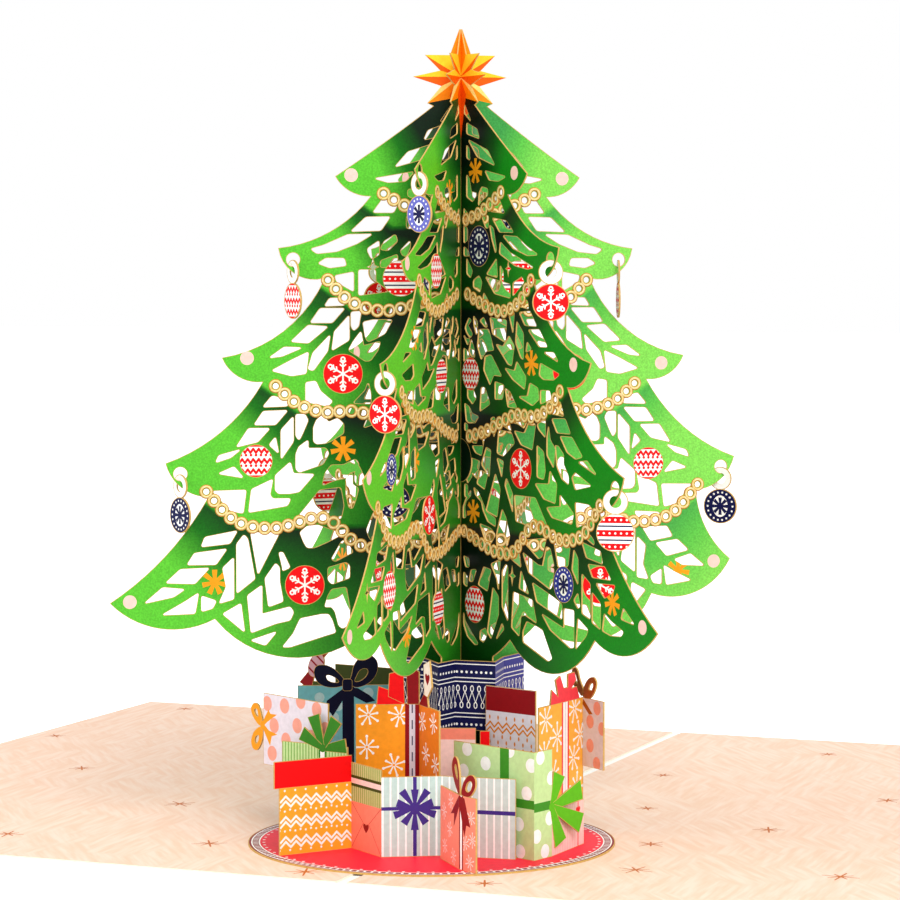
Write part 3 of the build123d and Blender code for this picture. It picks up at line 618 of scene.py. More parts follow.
class Sheet:
    """A flat sheet of printed paper: its outlines, openings and printed fields."""

    def __init__(self, edge_line=0.07, wall="cut edge"):
        self.edge_line = edge_line
        self.wall = wall
        self.width = 0.0
        self.bends = (None, None)
        self.shapes = []
        self.paper = set()
        self.openings = set()
        self.bridges = set()
        self.holes = set()
        self.prints = []

    def shape(self, points):
        self.shapes.append(facing_up(points))
        return len(self.shapes) - 1

    def add_paper(self, points, ink, bridge=False):
        """Paper with a browned line along its cut edge; a bridge also crosses openings."""
        index = self.shape(points)
        (self.bridges if bridge else self.paper).add(index)
        self.prints.append((index, "cut edge", None))
        inner = self.shape(grown(points, -self.edge_line))
        self.prints.append((inner, ink, None))
        return inner

    def add_opening(self, points):
        """A cut opening, browned round its edge."""
        self.openings.add(self.shape(points))
        self.prints.append((self.shape(grown(points, self.edge_line)), "cut edge", None))

    def add_hole(self, points):
        """A hole that goes through bridges too."""
        self.holes.add(self.shape(points))

    def add_print(self, points, ink, within=None):
        """A field of ink, kept inside another shape where one is given."""
        index = self.shape(points)
        self.prints.append((index, ink, within))
        return index

    def triangles(self):
        """The paper as flat triangles, each with its ink."""
        points, faces = [], []
        for outline in self.shapes:
            faces.append(list(range(len(points), len(points) + len(outline))))
            points += [Vector(point) for point in outline]
        spots, _, tris, _, _, owners = delaunay_2d_cdt(points, [], faces, 0, 1e-5)
        kept = []
        for tri, inside in zip(tris, owners):
            inside = set(inside)
            if inside & self.holes:
                continue
            if not (inside & self.bridges or (inside & self.paper and not inside & self.openings)):
                continue
            ink = None
            for index, name, within in self.prints:
                if index in inside and (within is None or within in inside):
                    ink = name
            kept.append((tri, ink or self.wall))
        return spots, kept

    def mitred(self, spot, shift):
        """Distance along the panel, moved at a fold so that two panels meet in a mitre."""
        start, end = self.bends
        if start is not None and abs(spot.x) < 1e-4:
            return spot.x - shift * start
        if end is not None and abs(spot.x - self.width) < 1e-4:
            return spot.x + shift * end
        return spot.x


def upright(origin, angle):
    """Place of an upright sheet: its origin, and the directions across, up and outwards."""
    turn = radians(angle)
    across = Vector((cos(turn), sin(turn), 0))
    return Vector(origin), across, Vector((0, 0, 1)), Vector((sin(turn), -cos(turn), 0))


def flat(height):
    """Places of a sheet that lies flat, with its print on top."""
    return Vector((0, 0, height)), Vector((1, 0, 0)), Vector((0, 1, 0)), Vector((0, 0, 1))


def build(name, sheets, thickness=PAPER):
    """One mesh of several sheets, each with its own place; its UV map holds the places on the sheets."""
    verts, faces, inks, uvs = [], [], [], []
    for sheet, (origin, across, up, out) in sheets:
        spots, kept = sheet.triangles()
        used = sorted({corner for tri, _ in kept for corner in tri})
        number = {corner: index for index, corner in enumerate(used)}
        base = len(verts)
        count = len(used)
        for side in (0.5, -0.5):
            for corner in used:
                spot = spots[corner]
                level = thickness * side
                verts.append((origin + across * sheet.mitred(spot, level) + up * spot.y + out * level) * MM)
                uvs.append((spot.x / SHEET_UV, spot.y / SHEET_UV))
        edges = {}
        for tri, ink in kept:
            a, b, c = (number[corner] for corner in tri)
            if area([tuple(spots[corner]) for corner in tri]) < 0:
                b, c = c, b
            if across.cross(up).dot(out) < 0:
                b, c = c, b
            faces.append((base + a, base + b, base + c))
            faces.append((base + count + a, base + count + c, base + count + b))
            inks += [ink, ink]
            for edge in ((a, b), (b, c), (c, a)):
                if edge[::-1] in edges:
                    del edges[edge[::-1]]
                else:
                    edges[edge] = True
        for first, second in edges:
            faces.append((base + second, base + first, base + count + first, base + count + second))
            inks.append(sheet.wall)
    mesh = bpy.data.meshes.new(name)
    mesh.from_pydata([tuple(vert) for vert in verts], [], faces)
    names = sorted(set(inks))
    for ink in names:
        mesh.materials.append(ink_material(ink))
    mesh.polygons.foreach_set("material_index", [names.index(ink) for ink in inks])
    layer = mesh.uv_layers.new(name="sheet")
    for loop in mesh.loops:
        layer.data[loop.index].uv = uvs[loop.vertex_index]
    mesh.validate()
    piece = bpy.data.objects.new(name, mesh)
    bpy.context.scene.collection.objects.link(piece)
    return piece


# Materials

# Coated paper under soft light has a weak gloss
PAPER_SPECULAR = 0.15
WHITE = (1, 1, 1, 1)


def node(tree, kind, links=(), values=None, stops=None, **settings):
    """Add a node with its settings, its sockets' values, a ramp's stops and its links."""
    made = tree.nodes.new(kind)
    for key, value in settings.items():
        setattr(made, key, value)
    for socket, value in (values or {}).items():
        made.inputs[socket].default_value = value
    if stops:
        elements = made.color_ramp.elements
        for element, (position, colour) in ((elements[0], stops[0]), (elements[1], stops[-1])):
            element.position = position
            element.color = colour
        for position, colour in stops[1:-1]:
            elements.new(position).color = colour
    for socket, source in links:
        tree.links.new(source, made.inputs[socket])
    return made


def start_material(name, roughness):
    """A material with one shader of weak gloss, and its object coordinates."""
    material = bpy.data.materials.new(name)
    material.use_nodes = True
    tree = material.node_tree
    shader = tree.nodes["Principled BSDF"]
    shader.inputs["Roughness"].default_value = roughness
    shader.inputs["Specular IOR Level"].default_value = PAPER_SPECULAR
    return material, tree, shader, node(tree, "ShaderNodeTexCoord").outputs["Object"]


def paper_bump(tree, shader, place, strength):
    """The faint tooth of coated paper, drawn at 0.25 mm on grains of six times that, so that it shows."""
    grain = node(tree, "ShaderNodeTexNoise", [("Vector", place)],
                 {"Scale": 1 / (0.25 * MM) / 6, "Detail": 3.0})
    bump = node(tree, "ShaderNodeBump", [("Height", grain.outputs["Fac"])],
                {"Strength": strength, "Distance": 0.03 * MM})
    tree.links.new(bump.outputs["Normal"], shader.inputs["Normal"])


def mottled(tree, place, colour, scale_mm, amount):
    """A colour with the slight unevenness of ink on paper."""
    noise = node(tree, "ShaderNodeTexNoise", [("Vector", place)],
                 {"Scale": 1 / (scale_mm * MM), "Detail": 4.0})
    dark = (*(value * (1 - amount) for value in colour[:3]), 1)
    light = (*(min(1.0, value * (1 + amount)) for value in colour[:3]), 1)
    ramp = node(tree, "ShaderNodeValToRGB", [("Fac", noise.outputs["Fac"])],
                stops=((0.3, dark), (0.7, light)))
    return ramp.outputs["Color"]


def printed_paper(name, colour, roughness=0.5, amount=0.06):
    """Offset ink on coated paper: matt, with a weak sheen and a barely uneven colour."""
    material, tree, shader, place = start_material(name, roughness)
    tree.links.new(mottled(tree, place, linear(colour), 0.8, amount), shader.inputs["Base Color"])
    paper_bump(tree, shader, place, 0.25)
    return material


# Greens of the wings, each from the dark by the trunk, over its middle tone, to the rim. Every wing is the
# same green paper: the four sets are painted light and painted shade for how each wing faces the lamps, from
# 'bright' and 'lit' through 'middle' to the most shaded, 'deep'
LIT_AND_SHADED_GREENS = {
    "lit": ("#0d4a14", "#339a1c", "#5cbe22"),
    "bright": ("#3c9644", "#58b844", "#7ccf50"),
    "middle": ("#0a1e0e", "#12680f", "#58bc30"),
    "deep": ("#05120a", "#054408", "#0a7e10"),
}


def tier_shade(tree, height):
    """Light at the foot of every tier and dark at its top, where the tier above shades it."""
    lowest, foot_share, half_step = 0.28, 0.15, 0.005
    above = node(tree, "ShaderNodeMath", [(0, height)], {1: lowest}, operation="SUBTRACT")
    stops = [(0.0, (1, 1, 1, 1))]
    for tip_height, notch in zip(TIP_HEIGHT, NOTCHES):
        top, foot = notch[1] / SHEET_UV, tip_height / SHEET_UV
        for spot, value in ((foot + foot_share * (top - foot), 1.0), (top - half_step, 0.0),
                            (top + half_step, 1.0)):
            if spot - lowest < 1.0:
                stops.append((spot - lowest, (value, value, value, 1)))
    stops.append((1.0, (0, 0, 0, 1)))
    return node(tree, "ShaderNodeValToRGB", [("Fac", above.outputs[0])], stops=stops).outputs["Color"]


def green_paper(name, tones):
    """Pearlescent green, dark by the trunk where the wings cross and under each tier where the tier above
    shades it, and lighter towards the rim: partly the print's own gradient, partly painted shade and painted
    light; with a fine painted shimmer.
    """
    material, tree, shader, place = start_material(name, 0.38)
    uv = node(tree, "ShaderNodeUVMap", uv_map="sheet")
    parts = node(tree, "ShaderNodeSeparateXYZ", [("Vector", uv.outputs["UV"])])
    from_axis, up = parts.outputs["X"], parts.outputs["Y"]
    # The wing's reach at a height, in units of the map: 10 mm at 136 mm, and 60 mm at 38 mm
    reach = node(tree, "ShaderNodeMapRange", [("Value", up)],
                 {"From Min": 1.36, "From Max": 0.38, "To Min": 0.10, "To Max": 0.60}).outputs["Result"]
    share = node(tree, "ShaderNodeMath", [(0, from_axis), (1, reach)], operation="DIVIDE")
    inside = node(tree, "ShaderNodeMath", [(0, reach), (1, from_axis)], operation="SUBTRACT")
    # Away from the rim the shade of the tier above falls up to 5.5 mm lower
    drop = node(tree, "ShaderNodeMapRange", [("Value", inside.outputs[0])],
                {"From Min": 0.03, "From Max": 0.13, "To Max": 0.055})
    height = node(tree, "ShaderNodeMath", [(0, drop.outputs["Result"]), (1, up)], operation="ADD")
    shade = tier_shade(tree, height.outputs[0])
    # Painted light towards the rim and painted shade in towards the trunk, where the wings cross
    outward = node(tree, "ShaderNodeMapRange", [("Value", share.outputs[0])],
                   {"From Min": 0.05, "From Max": 1.05}, interpolation_type="SMOOTHSTEP")
    lit = node(tree, "ShaderNodeMath", [(0, shade)], {1: 0.6, 2: 0.3}, operation="MULTIPLY_ADD")
    part = node(tree, "ShaderNodeMath", [(0, outward.outputs["Result"]), (1, lit.outputs[0])],
                operation="MULTIPLY")
    tone = node(tree, "ShaderNodeMath", [(0, shade), (2, part.outputs[0])], {1: 0.35},
                operation="MULTIPLY_ADD")
    stops = [(position, linear(colour)) for position, colour in zip((0.14, 0.5, 0.95), tones)]
    ramp = node(tree, "ShaderNodeValToRGB", [("Fac", tone.outputs[0])], stops=stops)
    # The shimmer: flecks of 0.3 mm, a little darker and lighter than the print: the pearl coating's glints,
    # painted into the colour
    fleck = node(tree, "ShaderNodeTexNoise", [("Vector", place)], {"Scale": 1 / (0.3 * MM), "Detail": 2.0})
    amount = node(tree, "ShaderNodeMapRange", [("Value", fleck.outputs["Fac"])],
                  {"From Min": 0.35, "From Max": 0.65, "To Min": 0.86, "To Max": 1.16})
    scaled = node(tree, "ShaderNodeVectorMath",
                  [(0, ramp.outputs["Color"]), ("Scale", amount.outputs["Result"])], operation="SCALE")
    tree.links.new(scaled.outputs["Vector"], shader.inputs["Base Color"])
    paper_bump(tree, shader, place, 0.3)
    return material


def liner_paper(name):
    """Peach print with fine pale strokes, which lean one way in some patches and another way in the rest."""
    material, tree, shader, place = start_material(name, 0.55)
    # Strokes of 1.1 mm, nine times as long, in two directions, and patches of 16 mm
    strokes = []
    for lean in (93, 129):
        turned = node(tree, "ShaderNodeMapping", [("Vector", place)],
                      {"Rotation": (0, 0, radians(lean)), "Scale": (9.0, 1.0, 1.0)}, vector_type="TEXTURE")
        grain = node(tree, "ShaderNodeTexNoise", [("Vector", turned.outputs["Vector"])],
                     {"Scale": 1 / (1.1 * MM), "Detail": 2.0})
        strokes.append(grain.outputs["Fac"])
    patches = node(tree, "ShaderNodeTexNoise", [("Vector", place)], {"Scale": 1 / (16 * MM)})
    side = node(tree, "ShaderNodeMapRange", [("Value", patches.outputs["Fac"])],
                {"From Min": 0.46, "From Max": 0.54})
    chosen = node(tree, "ShaderNodeMix",
                  [("Factor", side.outputs["Result"]), ("A", strokes[0]), ("B", strokes[1])])
    ramp = node(tree, "ShaderNodeValToRGB", [("Fac", chosen.outputs["Result"])],
                stops=((0.36, linear("#f3cdb2")), (0.66, linear("#f8dcc8"))))
    tree.links.new(ramp.outputs["Color"], shader.inputs["Base Color"])
    paper_bump(tree, shader, place, 0.2)
    return material


def gold_foil(name, colour, roughness):
    """Gold ink on the garland links: a soft metallic print, mottled; the garlands set the light end of its
    mottle to a pale gold, a painted highlight.
    """
    material, tree, shader, place = start_material(name, roughness)
    shader.inputs["Metallic"].default_value = 0.1
    tree.links.new(mottled(tree, place, linear(colour), 0.6, 0.08), shader.inputs["Base Color"])
    return material


# Material of each ink that is in use
MATERIALS = {}


def ink_material(ink):
    """The material of an ink, made once."""
    if ink not in MATERIALS:
        if ink.startswith("green "):
            MATERIALS[ink] = green_paper(ink + " pearl paper", LIT_AND_SHADED_GREENS[ink.split(" ")[1]])
        elif ink == "liner":
            MATERIALS[ink] = liner_paper("peach liner paper")
        elif ink == "cut edge":
            MATERIALS[ink] = printed_paper("laser browned paper edge", INKS[ink], 0.6, 0.12)
        elif ink.startswith("star"):
            MATERIALS[ink] = printed_paper(ink + " gloss print", INKS[ink], 0.35, 0.08)
        else:
            MATERIALS[ink] = printed_paper(ink + " printed paper", INKS[ink])
    return MATERIALS[ink]


# Motifs

def snowflake(sheet, x, z, radius, ink, within=None, turn=90, eye=None):
    """Six arms with two pairs of barbs and a round end each, which may have an eye."""
    for step in range(6):
        direction = turn + 60 * step
        sheet.add_print(spoke(x, z, direction, 0, radius * 0.92, radius * 0.1), ink, within)
        end = away(x, z, direction, radius * 0.9)
        sheet.add_print(circle(*end, radius * (0.16 if eye else 0.13), 12), ink, within)
        if eye:
            sheet.add_print(circle(*end, radius * 0.07, 8), eye, within)
        for start in (0.42, 0.64):
            root = away(x, z, direction, radius * start)
            for lean in (-50, 50):
                sheet.add_print(spoke(*root, direction + lean, 0, radius * 0.25, radius * 0.08), ink, within)


def flower(sheet, x, z, radius, ink, arms=7, within=None):
    """A small star of blunt petals."""
    for step in range(arms):
        petal = spoke(x, z, 90 + 360 * step / arms, 0, radius, radius * 0.22, radius * 0.42)
        sheet.add_print(petal, ink, within)


def sparkle(x, z, radius):
    """A four pointed opening."""
    points = []
    for step in range(8):
        reach = radius if step % 2 == 0 else radius * 0.26
        width = 0.62 if step % 4 == 0 else 1.0
        points.append((x + width * reach * cos(pi * step / 4), z + reach * sin(pi * step / 4)))
    return points


def zigzag(sheet, x0, x1, z, rise, pitch, width, ink, within=None):
    """A zigzag line from left to right."""
    count = max(2, round((x1 - x0) / pitch * 2))
    spots = [(x0 + (x1 - x0) * step / count, z + (rise if step % 2 else 0)) for step in range(count + 1)]
    for first, second in zip(spots, spots[1:]):
        line = bar(toward(first, second, -width / 3), toward(second, first, -width / 3), width)
        sheet.add_print(line, ink, within)


BALL_INKS = {"snow": "red", "zigzag": "white", "stripes": "white", "navy": "navy", "blue": "blue",
             "violet": "violet"}


def ball(sheet, kind, x, z, radius):
    """A round printed bauble, which stays closed where openings would cross it."""
    base = BALL_INKS[kind]
    disc = sheet.add_paper(circle(x, z, radius, 32), base, bridge=True)

    def band(height, tall, ink):
        low, high = z + height * radius, z + (height + tall) * radius
        sheet.add_print(rectangle(x - radius, low, x + radius, high), ink, disc)

    def spot(step, height, size, ink):
        sheet.add_print(circle(x + step * radius * 0.3, z + height * radius, radius * size, 8), ink, disc)

    if kind == "snow":
        snowflake(sheet, x, z, radius * 0.82, "white", disc, eye=base)
    elif kind == "zigzag":
        for height in (-0.62, 0.0, 0.62):
            zigzag(sheet, x - radius, x + radius, z + height * radius - 0.12 * radius, radius * 0.24,
                   radius * 0.34, radius * 0.14, "red", disc)
        for height in (-0.28, 0.36):
            for step in range(-3, 4):
                spot(step, height, 0.09, "red")
        for height in (-1.0, 0.86):
            band(height, 0.14, "red")
    elif kind == "stripes":
        for height in (-0.9, -0.2, 0.5):
            band(height, 0.34, "red")
        for height in (-0.42, 0.3, 0.94):
            band(height, 0.08, "navy")
        for step in range(-3, 4):
            for height in (-0.03, -0.73, 0.67):
                spot(step, height, 0.06, "white")
    else:
        oval = sheet.add_print(ellipse(x, z, radius * 0.46, radius * 0.62), "white", disc)
        flower(sheet, x, z, radius * 0.5, "navy", 8, oval)
        pearls = 18
        for step in range(pearls):
            turn = 2 * pi * step / pearls
            place = (x + radius * 0.76 * cos(turn), z + radius * 0.8 * sin(turn))
            sheet.add_print(circle(*place, radius * 0.06, 8), "white", disc)


# The tree

def tip(wing, tier):
    """The tip of one tier."""
    if tier == len(TIER_REACH) - 1:
        return (wing["reach"], TIP_HEIGHT[tier] + wing["lift"])
    longer, higher = wing["longer"].get(tier, (0.0, 0.0))
    return (TIER_REACH[tier] + longer, TIP_HEIGHT[tier] + higher)


def skirt_place(wing, reach, height):
    """A point of the lowest tier, moved with the wing's own reach and lift."""
    share = reach / TIER_REACH[-1]
    return (share * wing["reach"], height + wing["lift"] * share ** 2)


def underside_sag(wing, tier):
    """How far the underside of a tier hangs below its chord."""
    return UNDER_SAG[tier] + (HUNG_EXTRA_SAG if tier in wing["hung"] else 0.0)


def wing_outline(wing):
    """The outer edge of one wing, from the star's tip to the foot of the trunk."""
    points = [(AXIS_CLEARANCE, STAR_TIP - STAR_TIP_TRIM)] + list(STAR_OUTLINE)
    last = len(TIER_REACH) - 1
    for tier in range(last + 1):
        points += arc(NOTCHES[tier], tip(wing, tier), RIM_SAG[tier])
        if tier < last:
            points += arc(tip(wing, tier), NOTCHES[tier + 1], underside_sag(wing, tier))
    corners = [tip(wing, last)] + [skirt_place(wing, *spot) for spot in SKIRT_NOTCHES] + [(0.0, SKIRT_BOTTOM)]
    for first, second, sag in zip(corners, corners[1:], SKIRT_SAG):
        for spot in arc(first, second, sag, 14):
            if spot[0] > TRUNK_RADIUS:
                points.append(spot)
    points += [(TRUNK_RADIUS, SKIRT_BOTTOM + TRUNK_SHOULDER), (TRUNK_RADIUS, PAPER), (AXIS_CLEARANCE, PAPER)]
    return points


def hole_place(wing, tier):
    """Centre of the hole that carries an ornament."""
    start, end = tip(wing, tier), NOTCHES[tier + 1]
    reach = start[0] - HOLE_FROM_TIP
    line = arc(start, end, underside_sag(wing, tier), 60) + [end]
    for first, second in zip(line, line[1:]):
        if first[0] >= reach >= second[0]:
            share = (first[0] - reach) / (first[0] - second[0])
            under = first[1] + share * (second[1] - first[1])
    return (reach, under + STRIP_HEIGHT + HOLE_RADIUS)


def tier_openings(wing):
    """Every opening of a wing in millimetres; side wings have their own slots near the rims."""
    for tier, front in enumerate(OPENINGS):
        chosen = list(front)
        if wing["side"]:
            chosen = [spots for spots in front if max(spot[0] for spot in spots) <= SIDE_FROM[tier]]
            chosen += SIDE_OPENINGS[tier]
        for spots in chosen:
            points = []
            for share, rise in spots:
                reach = TIER_REACH[tier] * share / 100
                height = TIP_HEIGHT[tier] + RIM_DROP[tier] * rise / 100
                if tier == len(TIER_REACH) - 1:
                    reach, height = skirt_place(wing, reach, height)
                points.append((reach, height))
            yield points


def star_print(sheet):
    """Half of the star: each point in two tones, and the long lower point."""
    inks = ("star orange", "star yellow", "star red", "star yellow", "star red", "star pale", "star orange")
    outline = [(0.0, STAR_TIP)] + list(STAR_OUTLINE) + [(1.9, 129.0)]
    centre = (0.0, STAR_CENTRE)
    for ink, first, second in zip(inks, outline, outline[1:]):
        sheet.add_print([centre, first, second], ink)
    sheet.add_print([centre, (2.0, 129.6), (0.0, STAR_FOOT)], "star red")


def wing_sheet(name, sizes):
    """One wing: green paper, openings, links' holes, star and printed motifs."""
    wing = WINGS[name]
    sheet = Sheet(sizes.edge_line / MM)
    sheet.add_paper(wing_outline(wing), "green " + wing["green"])
    for points in tier_openings(wing):
        sheet.add_opening(grown(rounded(points, OPENING_ROUNDING), OPENING_GROWTH))
    star_print(sheet)
    for tier in wing["hung"]:
        sheet.add_opening(circle(*hole_place(wing, tier), HOLE_RADIUS, 20))
    for kind, x, z, radius in MOTIFS[name]:
        if kind == "dot":
            sheet.add_print(circle(x, z, radius, 20), "pink")
        elif kind == "lamp":
            sheet.add_paper(circle(x, z, radius, 28), "black green", bridge=True)
        elif kind == "flower":
            flower(sheet, x, z, radius, "orange")
        elif kind == "sparkle":
            sheet.add_opening(sparkle(x, z, radius))
        else:
            ball(sheet, kind, x, z, radius)
    for line in GARLANDS:
        for spot in along(line, sizes.link_pitch / MM):
            sheet.add_hole(circle(*spot, sizes.link_hole / MM * 0.9, 10))
    return sheet


def link_tree(material_edge, material_gold):
    """Geometry nodes that set a flat link on every point of a chain."""
    tree = bpy.data.node_groups.new("chain_links", "GeometryNodeTree")
    face = tree.interface
    face.new_socket("Geometry", in_out="INPUT", socket_type="NodeSocketGeometry")
    for label in ("Outer radius", "Hole radius", "Thickness", "Line"):
        face.new_socket(label, in_out="INPUT", socket_type="NodeSocketFloat")
    face.new_socket("Geometry", in_out="OUTPUT", socket_type="NodeSocketGeometry")
    start = node(tree, "NodeGroupInput").outputs
    end = node(tree, "NodeGroupOutput")
    turn = node(tree, "GeometryNodeInputNamedAttribute", values={0: "turn"}, data_type="FLOAT")
    angles = node(tree, "ShaderNodeCombineXYZ", [("Z", turn.outputs[0])], {"X": pi / 2})
    joined = node(tree, "GeometryNodeJoinGeometry")
    # The gold lies inside the browned edge by the line's width, and stands proud of it on both faces
    for proud, material in ((0.0, material_edge), (1.0, material_gold)):
        inset = node(tree, "ShaderNodeMath", [(0, start["Line"])], {1: proud},
                     operation="MULTIPLY").outputs[0]
        outer = node(tree, "ShaderNodeMath", [(0, start["Outer radius"]), (1, inset)],
                     operation="SUBTRACT").outputs[0]
        inner = node(tree, "ShaderNodeMath", [(0, start["Hole radius"]), (1, inset)],
                     operation="ADD").outputs[0]
        total = node(tree, "ShaderNodeMath", [(0, outer), (1, inner)], operation="ADD")
        middle = node(tree, "ShaderNodeMath", [(0, total.outputs[0])], {1: 0.5}, operation="MULTIPLY")
        width = node(tree, "ShaderNodeMath", [(0, outer), (1, inner)], operation="SUBTRACT")
        height = node(tree, "ShaderNodeMath", [(0, start["Thickness"])], {1: 1.0 + 0.12 * proud},
                      operation="MULTIPLY")
        path = node(tree, "GeometryNodeCurvePrimitiveCircle", [("Radius", middle.outputs[0])],
                    {"Resolution": 18})
        section = node(tree, "GeometryNodeCurvePrimitiveQuadrilateral",
                       [("Width", width.outputs[0]), ("Height", height.outputs[0])])
        ring = node(tree, "GeometryNodeCurveToMesh",
                    [("Curve", path.outputs["Curve"]), ("Profile Curve", section.outputs["Curve"])])
        placed = node(tree, "GeometryNodeInstanceOnPoints",
                      [("Points", start["Geometry"]), ("Instance", ring.outputs["Mesh"]),
                       ("Rotation", angles.outputs["Vector"])])
        real = node(tree, "GeometryNodeRealizeInstances", [("Geometry", placed.outputs["Instances"])])
        dressed = node(tree, "GeometryNodeSetMaterial", [("Geometry", real.outputs["Geometry"])],
                       {"Material": material})
        tree.links.new(dressed.outputs["Geometry"], joined.inputs["Geometry"])
    tree.links.new(joined.outputs["Geometry"], end.inputs["Geometry"])
    return tree


def apply_tree(piece, tree, values):
    """Run a geometry node tree on a piece and keep its result as a plain mesh."""
    modifier = piece.modifiers.new(tree.name, "NODES")
    modifier.node_group = tree
    sockets = {item.name: item.identifier for item in tree.interface.items_tree if item.in_out == "INPUT"}
    for label, value in values.items():
        modifier[sockets[label]] = value
    bpy.context.view_layer.update()
    graph = bpy.context.evaluated_depsgraph_get()
    mesh = bpy.data.meshes.new_from_object(piece.evaluated_get(graph))
    piece.modifiers.remove(modifier)
    piece.data = mesh


# Gifts

# How a bow's loops are drawn: their rounding, and the size, rounding and browned line of their eyes
LOOP_ROUNDING = 0.9
EYE_SHARE = 0.82
EYE_ROUNDING = 0.4
EYE_LINE = 0.08

# Bows: the outline of each loop on the panel that carries it, and of the eye inside the loop
NAVY_BOW = (
    (((8.4, 24.4), (6.8, 24.0), (5.1, 24.1), (3.6, 24.8), (2.9, 26.2), (2.9, 27.5), (3.6, 28.2), (5.0, 28.2),
      (6.4, 27.6), (7.6, 26.5), (8.8, 25.0)),
     ((4.8, 26.5), (5.1, 25.4), (6.1, 24.9), (7.2, 24.8), (7.7, 25.0), (6.9, 25.8), (5.8, 26.4))),
    (((9.0, 24.7), (9.6, 26.1), (9.9, 27.8), (10.7, 29.1), (12.0, 29.9), (13.2, 29.9), (14.2, 29.0),
      (14.5, 27.9), (14.2, 26.4), (13.3, 25.1), (12.0, 24.3), (10.4, 23.9)),
     ((9.9, 24.9), (10.3, 25.9), (10.9, 27.1), (11.7, 27.7), (12.7, 27.6), (12.9, 26.9), (12.4, 25.9),
      (11.4, 25.1), (10.5, 24.8))),
)
ORANGE_BOW = (
    (((-0.2, 18.9), (-0.9, 20.6), (-1.5, 21.9), (-2.9, 22.0), (-3.8, 20.9), (-3.3, 19.6), (-1.6, 18.1),
      (-0.2, 17.9)),
     ((-1.3, 19.3), (-1.7, 21.0), (-2.6, 21.1), (-2.9, 20.5), (-2.2, 19.6))),
    (((-0.2, 18.1), (-1.6, 17.7), (-3.0, 16.7), (-3.8, 15.0), (-3.2, 13.6), (-1.8, 13.4), (-0.5, 15.1),
      (-0.1, 16.7)),
     ((-1.2, 16.6), (-2.5, 16.0), (-2.8, 15.0), (-2.2, 14.4), (-1.3, 15.4))),
)
SALMON_LEFT_LOOP = (
    (((9.6, 12.3), (7.6, 13.9), (6.2, 15.6), (6.0, 17.2), (7.4, 18.6), (9.0, 18.2), (10.1, 16.0),
      (10.4, 12.3)),
     ((9.3, 14.4), (7.9, 15.6), (7.3, 16.8), (8.0, 17.5), (8.8, 17.0), (9.4, 15.6))),
)
SALMON_RIGHT_LOOP = (
    (((0.4, 12.3), (1.0, 14.4), (2.4, 15.9), (3.9, 16.3), (5.0, 15.6), (4.9, 14.0), (3.2, 12.3)),
     ((1.6, 13.4), (2.3, 14.8), (3.6, 15.4), (4.2, 14.8), (3.6, 13.5), (2.5, 12.9))),
)
BROWN_BOW = (
    (((0.1, 23.9), (0.3, 25.6), (1.9, 27.5), (3.8, 28.1), (4.9, 27.1), (4.2, 25.4), (2.7, 23.9)),
     ((1.8, 25.4), (2.4, 26.6), (3.5, 27.1), (3.9, 26.6), (3.2, 25.3))),
    (((0.0, 23.9), (-1.5, 25.0), (-3.5, 26.1), (-3.8, 27.7), (-2.8, 29.2), (-1.5, 28.7), (-0.9, 27.0),
      (0.6, 25.2)),
     ((-1.2, 25.8), (-2.7, 26.7), (-2.9, 27.8), (-2.2, 28.0), (-1.7, 27.0))),
)
CROWN_BOW = (
    (4.0, 23.9), (4.5, 26.6), (6.8, 25.1), (5.8, 28.1), (7.5, 28.7), (8.8, 26.4), (10.2, 26.4), (10.2, 28.7),
    (12.6, 28.8), (13.2, 27.4), (11.5, 26.0), (13.4, 26.2), (14.5, 23.9),
)

# Floor points of each gift, and the function that prints its panels
GIFTS = {}


def gift(name, corners):
    """Note a gift's floor points; the function that follows prints its panels."""
    def keep(function):
        GIFTS[name] = (corners, function)
        return function
    return keep


class Panel:
    """One upright panel of a folded strip: its width, its place and the bends at its sides."""

    def __init__(self, first, second, base, bends):
        across, forward = second[0] - first[0], second[1] - first[1]
        self.width = hypot(across, forward)
        self.place = upright((first[0], first[1], base), degrees(atan2(forward, across)))
        self.bends = bends


def half_turn(before, after):
    """Tangent of half the turn from one direction to the next, for a mitre."""
    return tan(((after - before + pi) % (2 * pi) - pi) / 2)


def strip_panels(corners, base, closed=False):
    """The panels between floor points; a closed strip is also folded where it ends."""
    angles = [atan2(second[1] - first[1], second[0] - first[0])
              for first, second in zip(corners, corners[1:])]
    turns = [half_turn(before, after) for before, after in zip(angles, angles[1:])]
    ends = [half_turn(angles[-1], angles[0])] if closed else [None]
    turns = ends + turns + ends
    return [Panel(first, second, base, bends)
            for first, second, bends in zip(corners, corners[1:], zip(turns, turns[1:]))]


def plain_panel(panel, low, high, ink):
    """A panel in one colour, with its print carried over the folds."""
    sheet = Sheet()
    sheet.width, sheet.bends = panel.width, panel.bends
    sheet.paper.add(sheet.shape(rectangle(0, low, panel.width, high)))
    edges = [sheet.edge_line if bend is None else -1.0 for bend in panel.bends]
    field = rectangle(edges[0], low + sheet.edge_line, panel.width - edges[1], high - sheet.edge_line)
    return sheet, sheet.add_print(field, ink)


def striped_panel(panel, low, high, base, stripe, pitch, share=0.45):
    """A panel with upright stripes."""
    sheet, inner = plain_panel(panel, low, high, base)
    for step in range(int(panel.width / pitch) + 1):
        x = step * pitch
        sheet.add_print(rectangle(x, low, x + pitch * share, high), stripe, inner)
    return sheet, inner


def bands(sheet, width, rows, within):
    """Level bands of ink: low edge, high edge and ink of each."""
    for low, high, ink in rows:
        sheet.add_print(rectangle(-1, low, width + 1, high), ink, within)


def dots(sheet, places, radius, ink, within):
    """Round dots at noted places."""
    for x, z in places:
        sheet.add_print(circle(x, z, radius, 20), ink, within)


